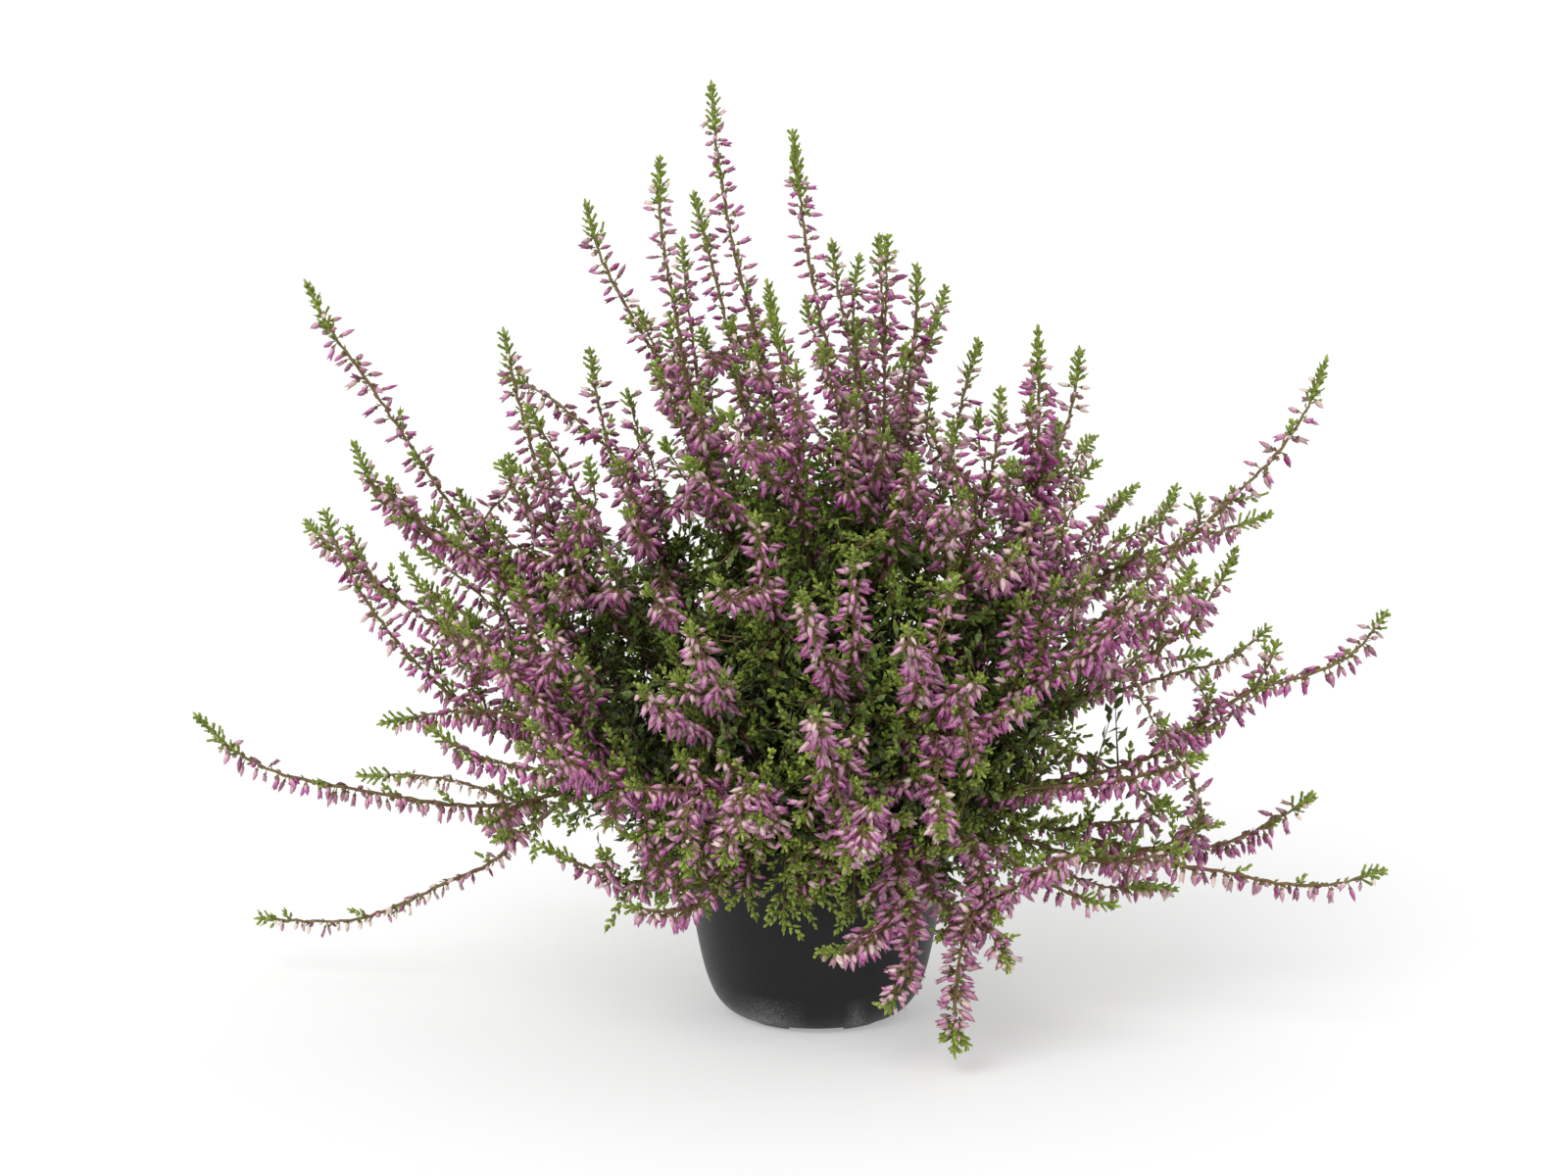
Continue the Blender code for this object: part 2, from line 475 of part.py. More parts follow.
def make_pot():
    inner = [(r - POT_WALL, z) for r, z in POT_SIDE[2:]]
    profile = (
        [(0, 0), (PAD_RADIUS, 0), (PAD_RADIUS + 0.8, POT_FLOOR_UNDER), (FOOT_INNER - 0.6, POT_FLOOR_UNDER), (FOOT_INNER, 0), (FOOT_OUTER, 0)]
        + POT_SIDE
        + LIP
        + inner[::-1]
        + [(33.0, 3.9), (30.2, POT_FLOOR_TOP), (0, POT_FLOOR_TOP)]
    )
    pot = finish(turned(profile, POT_SIDES), "pot", material("black_plastic", (0.012, 0.012, 0.014), 0.42))
    for k in range(DRAIN_HOLES):
        a = 2 * math.pi * (k + 0.5) / DRAIN_HOLES
        hole = tube(
            [(DRAIN_CIRCLE * math.cos(a), DRAIN_CIRCLE * math.sin(a), z) for z in (-2.0, 5.0)],
            [DRAIN_RADIUS, DRAIN_RADIUS],
            10,
        )
        boolean(pot, finish(hole, f"drain_hole_cutter_{k + 1}", None, True), "DIFFERENCE")
    for k in range(FOOT_NOTCHES // 2):
        a = 2 * math.pi * k / FOOT_NOTCHES
        bm = bmesh.new()
        bmesh.ops.create_cube(bm, size=1.0)
        for v in bm.verts:
            x, y, z = v.co.x * 80.0, v.co.y * NOTCH_WIDTH, (v.co.z - 0.5) * 4.0 + NOTCH_DEPTH
            # The notches leave the middle pad whole: each bar is cut in two below.
            v.co = Vector(((x * math.cos(a) - y * math.sin(a)) * MM, (x * math.sin(a) + y * math.cos(a)) * MM, z * MM))
        cutter = finish(bm, f"foot_notch_cutter_{k + 1}", None, True)
        keep = tube([(0, 0, -4.0), (0, 0, 4.0)], [PAD_RADIUS + 3.0, PAD_RADIUS + 3.0], 24)
        boolean(cutter, finish(keep, f"pad_keeper_{k + 1}", None, True), "DIFFERENCE")
        boolean(pot, cutter, "DIFFERENCE")
    return pot


def make_soil():
    wall = [(r - POT_WALL - GAP - 0.1, z) for r, z in POT_SIDE[2:-1]]
    slope = (POT_SIDE[-1][0] - POT_SIDE[-2][0]) / (POT_SIDE[-1][1] - POT_SIDE[-2][1])
    edge = POT_SIDE[-2][0] + slope * (SOIL_TOP - 1.5 - POT_SIDE[-2][1]) - POT_WALL - GAP - 0.1
    profile = (
        [(0, POT_FLOOR_TOP + GAP), (29.6, POT_FLOOR_TOP + GAP), (32.2, 4.2 + GAP)]
        + wall
        + [(edge, SOIL_TOP - 1.5), (edge - 1.6, SOIL_TOP - 0.5), (43.5, SOIL_TOP - 0.6), (39.5, SOIL_TOP - 0.5), (36.0, SOIL_TOP), (0, SOIL_TOP)]
    )

    def lumps(r, z, a):
        if z > SOIL_TOP - 1 and r > 38:
            return 0.0, 0.45 * math.sin(5 * a + r) + 0.3 * math.sin(11 * a - 0.7 * r)
        return 0.0, 0.0

    return finish(turned(profile, 40, lumps), "potting_soil", material("peat", (0.035, 0.022, 0.014), 0.95))


def make_crown():
    profile = [(0, CROWN_FOOT), (CROWN_RADIUS - 1.0, CROWN_FOOT)]
    for r in (CROWN_RADIUS, 30.0, 24.0, 17.0, 9.0):
        profile.append((r, CROWN_FOOT + 0.5 + CROWN_RISE * max(0.0, 1 - (r / CROWN_RADIUS) ** 2)))
    profile.append((0, CROWN_FOOT + 0.5 + CROWN_RISE))

    def knots(r, z, a):
        if z < CROWN_FOOT + 0.6:
            return 0.7 * math.sin(4 * a + 0.6) + 0.5 * math.sin(9 * a), 0.0
        return 0.0, -0.35 - 0.35 * math.sin(7 * a + r * 0.5)

    return finish(turned(profile, 28, knots), "root_crown", material("heather_wood", (0.11, 0.062, 0.036), 0.85))


def make_shoots():
    lines, forks = routes()
    tangle = Tangle(lines, forks)
    tangle.settle(90)
    radius, room = tangle.radii()
    leaf = material("heather_foliage", (0.16, 0.09, 0.11), 0.7)
    made = {}
    for number, name in enumerate(tangle.names):
        first, count = tangle.runs[number]
        made[name] = finish(tube(tangle.points[first : first + count], radius[first : first + count], SIDES), name + "_shoot", leaf)
    for number, (first, at, part) in enumerate(tangle.joints):
        count = tangle.runs[len(tangle.names) + number][1]
        parent = tangle.names[tangle.owner[first]]
        r = radius[first : first + count].copy()
        r[0] = 0.62 * min(radius[at], radius[at + 1])
        r[1] = min(r[1], 2.2)
        fork = finish(tube(tangle.points[first : first + count], r, SIDES), f"{parent}_fork_{number + 1}", None, True)
        boolean(made[parent], fork, "UNION")
    worst = np.argsort(room)[:6]
    print("least room (mm):", [(tangle.names[tangle.owner[k]], round(float(room[k]), 2)) for k in worst])
    return made


def main():
    for obj in list(bpy.data.objects):
        bpy.data.objects.remove(obj, do_unlink=True)
    make_pot()
    make_soil()
    make_crown()
    make_shoots()


main()
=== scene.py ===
"""The looks of the potted heather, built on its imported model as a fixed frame.

Millimetres inside the functions, metres in the meshes, +Z up, -Y the front. The shoots' centre lines are worked out again
here from the same tables and in the same way as the solids, so that every stem, leaf and flower lies on its own solid.
"""

import math

import bmesh
import bpy
import numpy as np
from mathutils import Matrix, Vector, noise


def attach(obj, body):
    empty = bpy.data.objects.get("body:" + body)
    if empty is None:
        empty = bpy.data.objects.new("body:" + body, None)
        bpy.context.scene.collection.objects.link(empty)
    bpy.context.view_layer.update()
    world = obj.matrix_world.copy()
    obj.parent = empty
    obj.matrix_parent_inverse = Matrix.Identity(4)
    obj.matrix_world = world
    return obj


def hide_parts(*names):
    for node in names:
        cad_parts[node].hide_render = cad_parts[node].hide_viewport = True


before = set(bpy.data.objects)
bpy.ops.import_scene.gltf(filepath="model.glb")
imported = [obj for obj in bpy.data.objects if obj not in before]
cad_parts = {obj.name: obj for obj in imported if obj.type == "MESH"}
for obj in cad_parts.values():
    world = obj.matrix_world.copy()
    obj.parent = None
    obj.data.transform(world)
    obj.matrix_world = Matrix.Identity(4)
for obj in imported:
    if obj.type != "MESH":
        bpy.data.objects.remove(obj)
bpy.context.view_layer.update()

rng = np.random.default_rng(41)

MM = 0.001

# The pot. Radii and heights of its outer face, in mm, from the foot to the lip.
POT_SIDES = 40
POT_HEIGHT = 74.0
POT_TOP_DIAMETER = 105.4
POT_WALL = 1.1
POT_FLOOR_UNDER = 1.4
POT_FLOOR_TOP = 2.6
FOOT_INNER, FOOT_OUTER = 23.6, 28.0
PAD_RADIUS = 9.0
FOOT_NOTCHES = 6
NOTCH_WIDTH, NOTCH_DEPTH = 9.0, 0.8
DRAIN_HOLES = 6
DRAIN_RADIUS, DRAIN_CIRCLE = 2.6, 16.5
POT_SIDE = [(31.5, 1.2), (34.2, 2.9), (37.5, 6.7), (39.4, 10.6), (41.4, 16.3), (43.6, 25.8), (47.1, 45.6), (51.3, 69.4)]
LIP = [(52.5, 69.9), (52.7, 73.2), (52.0, 74.0), (50.9, 74.0), (50.4, 73.2)]

# Soil and root crown, in mm.
SOIL_TOP = 64.0
GAP = 0.35
CROWN_RADIUS = 34.0
CROWN_RISE = 7.0
CROWN_FOOT = SOIL_TOP + GAP

# The shoots.
SIDES = 6
FOOT_RADIUS = 1.1
TIP_RADIUS = 0.9
LEAST_RADIUS = 0.62
LEAF_RADIUS = 2.6
FLOWER_RADIUS = 4.2
RING_SPACING = 19.0
CLEARANCE = 0.36
CROWN_DISC = 30.0
LIP_CLEAR = 79.5

# Front view that the shoots were laid out on: seen from 1.6 m away and 12 degrees above the level, with u to the
# right and v down, 0.36 mm to the unit at the pot's axis. The middle of the underside is at (833, 1027.5).
VIEW_DISTANCE = 1600.0
VIEW_TILT = math.radians(12.0)
UNIT = 0.36
VIEW_CENTRE = (800.0, 600.0)
AIM = (-11.9, 0.0, 160.6)

# name, distance of the tip in front of the axis (mm), how soon the shoot comes forward (1 = evenly), and the route
# from the tip inwards in the front view.
SHOOTS = [
    ("top_1", -10, 1.0, [(726, 87), (730, 140), (738, 195), (750, 260), (763, 310), (778, 360), (795, 450), (812, 560)]),
    ("top_2", 20, 1.0, [(809, 137), (815, 190), (822, 245), (834, 310), (847, 365), (860, 430), (862, 520), (852, 620)]),
    ("top_3", 15, 1.0, [(673, 163), (673, 215), (679, 265), (688, 310), (696, 360), (712, 440), (738, 530), (768, 620)]),
    ("top_4", -25, 1.0, [(598, 209), (608, 250), (625, 285), (645, 325), (668, 362), (700, 430), (740, 520)]),
    ("top_5", -45, 1.0, [(708, 198), (720, 245), (733, 295), (745, 345), (757, 395), (775, 470), (798, 570)]),
    ("top_6", -30, 1.0, [(849, 246), (855, 295), (866, 340), (880, 385), (885, 450), (870, 560)]),
    ("top_7", 10, 1.0, [(897, 241), (899, 290), (902, 350), (902, 440), (898, 520), (880, 620)]),
    ("top_8", -15, 1.0, [(936, 271), (935, 320), (930, 370), (925, 430), (915, 520), (890, 620)]),
    ("top_9", 40, 1.0, [(783, 290), (790, 330), (799, 375), (812, 440), (822, 520), (828, 610)]),
    ("right_1", 5, 1.0, [(1353, 367), (1342, 400), (1320, 440), (1290, 478), (1255, 510), (1210, 555), (1130, 625), (1040, 700), (960, 760)]),
    ("right_2", -72, 1.0, [(1297, 525), (1260, 537), (1215, 552), (1165, 567), (1110, 600), (1030, 665), (950, 730)]),
    ("right_3", 25, 1.0, [(1415, 625), (1395, 655), (1355, 680), (1310, 697), (1270, 707), (1230, 735), (1180, 770), (1110, 790), (1020, 805), (940, 812)]),
    ("right_4", -58, 1.0, [(1293, 642), (1260, 670), (1215, 682), (1170, 697), (1110, 710), (1030, 745), (960, 785)]),
    ("right_5", 20, 1.0, [(1262, 560), (1245, 595), (1220, 628), (1190, 658), (1150, 685), (1080, 725), (990, 770)]),
    ("right_6", -8, 1.0, [(1340, 812), (1312, 828), (1280, 850), (1225, 865), (1170, 866), (1110, 855), (1050, 838)]),
    ("right_7", 48, 1.0, [(1412, 888), (1380, 900), (1310, 902), (1250, 890), (1190, 882), (1120, 878), (1060, 862)]),
    ("right_8", 25, 1.0, [(1059, 337), (1060, 385), (1060, 440), (1058, 500), (1040, 570), (1000, 650), (950, 720)]),
    ("right_9", -48, 1.0, [(1102, 358), (1100, 395), (1087, 430), (1070, 490), (1030, 570), (970, 660)]),
    ("right_10", -25, 1.0, [(998, 348), (988, 385), (978, 425), (968, 480), (945, 560), (915, 640)]),
    ("right_11", 45, 1.0, [(1022, 397), (1019, 440), (1010, 490), (990, 560), (955, 640)]),
    ("right_12", 30, 1.0, [(1160, 495), (1135, 520), (1105, 545), (1060, 600), (1000, 670)]),
    ("right_13", 55, 1.2, [(1228, 772), (1190, 785), (1120, 800), (1060, 804), (1000, 812)]),
    ("right_14", 80, 1.2, [(1215, 585), (1180, 625), (1130, 658), (1080, 683), (1030, 715), (970, 760)]),
    ("right_15", 70, 1.4, [(1140, 925), (1100, 915), (1050, 890), (1000, 858)]),
    ("left_1", -10, 1.0, [(312, 288), (342, 345), (380, 395), (408, 440), (437, 482), (470, 530), (520, 590), (590, 660), (670, 730), (740, 780)]),
    ("left_2", 5, 1.0, [(514, 337), (522, 380), (535, 430), (550, 485), (570, 545), (600, 600), (660, 670), (730, 740)]),
    ("left_3", -50, 1.0, [(602, 357), (608, 400), (618, 440), (632, 490), (665, 560), (720, 640), (770, 710)]),
    ("left_4", 20, 1.0, [(361, 453), (375, 487), (405, 520), (445, 545), (490, 577), (550, 620), (630, 690), (710, 760)]),
    ("left_5", 38, 1.0, [(331, 523), (345, 560), (365, 600), (395, 642), (440, 692), (495, 735), (560, 765), (640, 790), (730, 805)]),
    ("left_6", -48, 1.0, [(355, 538), (385, 595), (440, 634), (500, 670), (580, 710), (670, 760), (750, 800)]),
    ("left_7", -85, 1.0, [(410, 567), (430, 600), (465, 640), (520, 680), (600, 730), (690, 780)]),
    ("left_8", 20, 1.0, [(200, 730), (225, 755), (265, 782), (310, 795), (400, 812), (470, 822), (540, 818), (600, 800), (680, 790)]),
    ("left_9", -42, 1.0, [(265, 937), (320, 940), (380, 935), (440, 907), (510, 875), (550, 835), (610, 805), (680, 798)]),
    ("left_10", 65, 1.0, [(470, 640), (520, 680), (570, 730), (640, 780), (720, 805)]),
    ("left_11", 85, 1.2, [(540, 740), (590, 775), (640, 798), (710, 810)]),
    ("left_12", 50, 1.4, [(550, 862), (600, 885), (650, 900), (700, 880), (735, 840)]),
    ("front_1", 120, 1.0, [(818, 605), (835, 660), (858, 715), (882, 760)]),
    ("front_2", 120, 1.0, [(925, 640), (935, 695), (920, 755)]),
    ("front_3", 80, 1.0, [(770, 525), (778, 570), (790, 620), (800, 690), (815, 760)]),
    ("front_4", 110, 1.0, [(705, 640), (725, 690), (755, 745)]),
    ("front_5", 105, 1.0, [(1002, 690), (960, 720), (925, 770)]),
    ("front_6", 135, 1.2, [(832, 727), (840, 765), (850, 795)]),
    ("front_7", 122, 1.8, [(882, 872), (880, 838), (868, 812)]),
    ("front_8", 112, 1.8, [(757, 852), (754, 822), (772, 802)]),
    ("front_9", 105, 1.6, [(703, 872), (700, 832), (730, 806)]),
    ("trailing_1", 83, 2.2, [(974, 1076), (975, 1040), (976, 1000), (984, 960), (1004, 915), (1000, 870)]),
    ("trailing_2", 86, 2.2, [(905, 1030), (922, 1000), (930, 965), (926, 915), (908, 866)]),
    ("trailing_3", 80, 2.0, [(1112, 862), (1060, 890), (1000, 920), (940, 928), (892, 905), (866, 868)]),
    ("trailing_4", 68, 2.0, [(640, 925), (690, 930), (735, 910), (768, 868)]),
]

# Shoots at the back: name, direction round the pot (degrees, 90 = straight back), lean from upright, length (mm)
# and droop of the outer end (mm).
BACK = [
    ("back_1", 62, 30, 215, 0),
    ("back_2", 118, 36, 200, 4),
    ("back_3", 90, 56, 190, 10),
    ("back_4", 40, 62, 180, 14),
    ("back_5", 140, 64, 185, 14),
    ("back_6", 74, 84, 165, 26),
    ("back_7", 112, 82, 170, 24),
    ("back_8", 20, 86, 150, 22),
]

# Forks: shoot it grows from, how far along that shoot it leaves, distance of its tip in front of the axis
# and its route from the tip inwards.
FORKS = [
    ("top_3", 0.55, -20, [(696, 247), (699, 285), (704, 330), (710, 370)]),
    ("top_6", 0.50, -55, [(877, 262), (871, 300), (872, 345), (874, 385)]),
    ("right_9", 0.52, -75, [(1118, 450), (1100, 475), (1082, 515)]),
    ("right_2", 0.55, -70, [(1200, 497), (1185, 530), (1165, 560)]),
    ("right_3", 0.72, 12, [(1303, 655), (1293, 680)]),
    ("right_6", 0.42, 25, [(1193, 815), (1170, 835), (1120, 840)]),
    ("right_7", 0.30, 15, [(1180, 905), (1130, 905), (1090, 893)]),
    ("left_1", 0.50, -30, [(467, 502), (490, 535), (515, 565)]),
    ("left_4", 0.78, 35, [(397, 490), (403, 508)]),
    ("left_6", 0.80, -65, [(312, 532), (335, 555)]),
    ("left_10", 0.52, 45, [(390, 738), (430, 731), (490, 724)]),
    ("left_11", 0.55, 60, [(437, 742), (475, 768), (530, 782)]),
    ("left_2", 0.38, 30, [(537, 415), (565, 460), (600, 525)]),
    ("left_3", 0.42, -75, [(512, 383), (560, 405), (600, 440), (645, 485)]),
    ("front_4", 0.45, 112, [(652, 700), (690, 735)]),
    ("front_5", 0.50, 100, [(1055, 715), (1010, 735)]),
    ("front_5", 0.40, 112, [(962, 855), (955, 810)]),
    ("trailing_3", 0.62, 84, [(1030, 990), (1016, 958)]),
    ("trailing_2", 0.55, 92, [(834, 972), (872, 968), (902, 945)]),
    ("top_9", 0.45, 78, [(700, 470), (735, 505), (775, 545)]),
    ("top_7", 0.40, 70, [(935, 465), (925, 510), (908, 560)]),
    ("front_1", 0.45, 105, [(870, 560), (872, 610), (872, 665)]),
]
BACK_FORKS = [
    ("back_1", 0.45, 30, 20, 95),
    ("back_2", 0.45, 150, 24, 90),
    ("back_3", 0.45, 75, 38, 95),
    ("back_3", 0.40, 115, 74, 80),
    ("back_4", 0.45, 20, 40, 90),
    ("back_4", 0.50, 58, 80, 70),
    ("back_5", 0.45, 165, 44, 90),
    ("back_5", 0.50, 122, 82, 70),
    ("back_6", 0.45, 92, 70, 80),
    ("back_7", 0.45, 135, 74, 75),
    ("back_8", 0.40, 45, 66, 75),
    ("back_1", 0.60, 95, 46, 75),
    ("back_2", 0.60, 80, 20, 80),
    ("back_4", 0.62, 28, 76, 62),
    ("back_5", 0.62, 155, 78, 62),
    ("back_6", 0.55, 52, 62, 68),
    ("back_7", 0.55, 100, 56, 70),
    ("left_7", 0.42, 150, 62, 85),
    ("left_9", 0.40, 165, 82, 75),
    ("left_6", 0.45, 158, 50, 80),
    ("right_2", 0.40, 32, 58, 85),
    ("right_4", 0.42, 18, 74, 75),
    ("right_9", 0.45, 42, 36, 80),
]


def place(u, v, front):
    """The point (mm) seen at (u, v) of the front view and this far in front of the pot's axis."""
    side = (u - VIEW_CENTRE[0]) * UNIT / VIEW_DISTANCE
    rise = -(v - VIEW_CENTRE[1]) * UNIT / VIEW_DISTANCE
    c, s = math.cos(VIEW_TILT), math.sin(VIEW_TILT)
    ray = np.array([side, c + rise * s, -s + rise * c])
    eye = np.array([AIM[0], -VIEW_DISTANCE * c, AIM[2] + VIEW_DISTANCE * s])
    return eye + ray * ((-front - eye[1]) / ray[1])


def crown_height(r):
    """Height of the root crown's surface at a distance from the axis, in mm."""
    return CROWN_FOOT + CROWN_RISE * max(0.0, 1.0 - (r / CROWN_RADIUS) ** 2) + 0.6


def smooth(points, spacing, least):
    """Points at even spacing along a smooth curve through the given points."""
    p = np.array(points, float)
    p = np.vstack([2 * p[0] - p[1], p, 2 * p[-1] - p[-2]])
    knots = np.concatenate([[0.0], np.cumsum(np.sqrt(np.linalg.norm(np.diff(p, axis=0), axis=1)))])
    fine = []
    for i in range(1, len(p) - 2):
        t0, t1, t2, t3 = knots[i - 1 : i + 3]
        for t in np.linspace(t1, t2, 24, endpoint=False):
            a1 = (t1 - t) / (t1 - t0) * p[i - 1] + (t - t0) / (t1 - t0) * p[i]
            a2 = (t2 - t) / (t2 - t1) * p[i] + (t - t1) / (t2 - t1) * p[i + 1]
            a3 = (t3 - t) / (t3 - t2) * p[i + 1] + (t - t2) / (t3 - t2) * p[i + 2]
            b1 = (t2 - t) / (t2 - t0) * a1 + (t - t0) / (t2 - t0) * a2
            b2 = (t3 - t) / (t3 - t1) * a2 + (t - t1) / (t3 - t1) * a3
            fine.append((t2 - t) / (t2 - t1) * b1 + (t - t1) / (t2 - t1) * b2)
    fine = np.array(fine + [p[-2]])
    run = np.concatenate([[0.0], np.cumsum(np.linalg.norm(np.diff(fine, axis=0), axis=1))])
    count = max(least, int(round(run[-1] / spacing)) + 1)
    at = np.linspace(0.0, run[-1], count)
    return np.stack([np.interp(at, run, fine[:, k]) for k in range(3)], axis=1)


def routes():
    """Every shoot's and fork's centre line, foot first: {name: points} and a list of (name, parent, at, points)."""
    outer = {}
    for name, front, soon, way in SHOOTS:
        way = way[::-1]
        flat = np.array(way, float)
        run = np.concatenate([[0.0], np.cumsum(np.linalg.norm(np.diff(flat, axis=0), axis=1))])
        start = np.linalg.norm(flat[0] - np.array([833.0, 830.0]))
        s = (run + start) / (run[-1] + start)
        outer[name] = np.array([place(u, v, front * (1 - (1 - k) ** soon)) for (u, v), k in zip(way, s)])
    for name, turn, lean, length, droop in BACK:
        a, b = math.radians(turn), math.radians(lean)
        out = np.array([math.cos(a), math.sin(a), 0.0])
        points = []
        for s in (0.35, 0.55, 0.75, 1.0):
            tilt = b * (0.72 + 0.28 * s)
            p = out * (length * s * math.sin(tilt)) + np.array([0, 0, 72.0 + length * s * math.cos(tilt)])
            points.append(p - np.array([0, 0, droop * s**2]) + np.array([0, 0, 10.0 * math.sin(math.pi * s)]))
        outer[name] = np.array(points)

    names = list(outer)
    middle = np.array([0.0, 0.0, 68.0])
    aims = np.array([outer[n][0] * 0.6 + outer[n][-1] * 0.4 - middle for n in names])
    lean = np.arctan2(np.hypot(aims[:, 0], aims[:, 1]), aims[:, 2])
    level = aims[:, :2] / np.maximum(np.hypot(aims[:, 0], aims[:, 1]), 1e-6)[:, None]
    feet = level * (CROWN_DISC * np.clip(lean / math.radians(88), 0.02, 1.0) ** 0.9)[:, None]
    for _ in range(300):
        away = feet[:, None] - feet[None]
        gap = np.hypot(away[..., 0], away[..., 1]) + np.eye(len(feet)) * 99
        push = np.where(gap < 7.2, (7.2 - gap) * 0.22, 0.0)
        feet = feet + (away / gap[..., None] * push[..., None]).sum(axis=1)
        r = np.hypot(feet[:, 0], feet[:, 1])
        feet *= np.minimum(1.0, CROWN_DISC / np.maximum(r, 1e-6))[:, None]
    lines = {}
    for name, foot in zip(names, feet):
        r = float(np.hypot(*foot))
        base = np.array([foot[0], foot[1], crown_height(r) + CLEARANCE])
        slope = 2 * CROWN_RISE * r / CROWN_RADIUS**2
        up = np.array([foot[0] / max(r, 1e-6) * slope, foot[1] / max(r, 1e-6) * slope, 1.0])
        up /= np.linalg.norm(up)
        first = outer[name][0]
        start = [base, base + up * 9.0]
        flat = float(np.hypot(first[0], first[1]))
        if flat > 56.0 and first[2] < 104.0:
            way = first[:2] / flat
            start.append(np.array([way[0] * 47.0, way[1] * 47.0, max(83.0, first[2] * 0.5 + 41.0)]))
        lines[name] = smooth(start + list(outer[name]), RING_SPACING, 8)

    forks = []
    for index, (parent, at, front, way) in enumerate(FORKS):
        line = lines[parent]
        k = at * (len(line) - 1)
        i = int(k)
        joint = line[i] * (1 - k + i) + line[i + 1] * (k - i)
        back = -joint[1]
        way = way[::-1]
        steps = [back + (front - back) * (j + 1) / len(way) for j in range(len(way))]
        points = [joint] + [place(u, v, d) for (u, v), d in zip(way, steps)]
        forks.append((parent, at, smooth(points, RING_SPACING, 4)))
    for parent, at, turn, lean, length in BACK_FORKS:
        line = lines[parent]
        k = at * (len(line) - 1)
        i = int(k)
        joint = line[i] * (1 - k + i) + line[i + 1] * (k - i)
        a, b = math.radians(turn), math.radians(lean)
        out = np.array([math.cos(a) * math.sin(b), math.sin(a) * math.sin(b), math.cos(b)])
        points = [joint + out * length * s + np.array([0, 0, 6.0 * math.sin(math.pi * s)]) for s in (0.0, 0.35, 0.7, 1.0)]
        forks.append((parent, at, smooth(points, RING_SPACING, 4)))
    return lines, forks


def nearest(p1, q1, p2, q2):
    """Nearest points of pairs of straight pieces: how far along each they lie, and the way between them."""
    d1, d2, r = q1 - p1, q2 - p2, p1 - p2
    a, e = (d1 * d1).sum(1), (d2 * d2).sum(1)
    b, c, f = (d1 * d2).sum(1), (d1 * r).sum(1), (d2 * r).sum(1)
    span = np.maximum(a * e - b * b, 1e-9)
    s = np.clip((b * f - c * e) / span, 0, 1)
    t = (b * s + f) / e
    s = np.where(t < 0, np.clip(-c / a, 0, 1), np.where(t > 1, np.clip((b - c) / a, 0, 1), s))
    t = np.clip(t, 0, 1)
    return s, t, (p1 + d1 * s[:, None]) - (p2 + d2 * t[:, None])


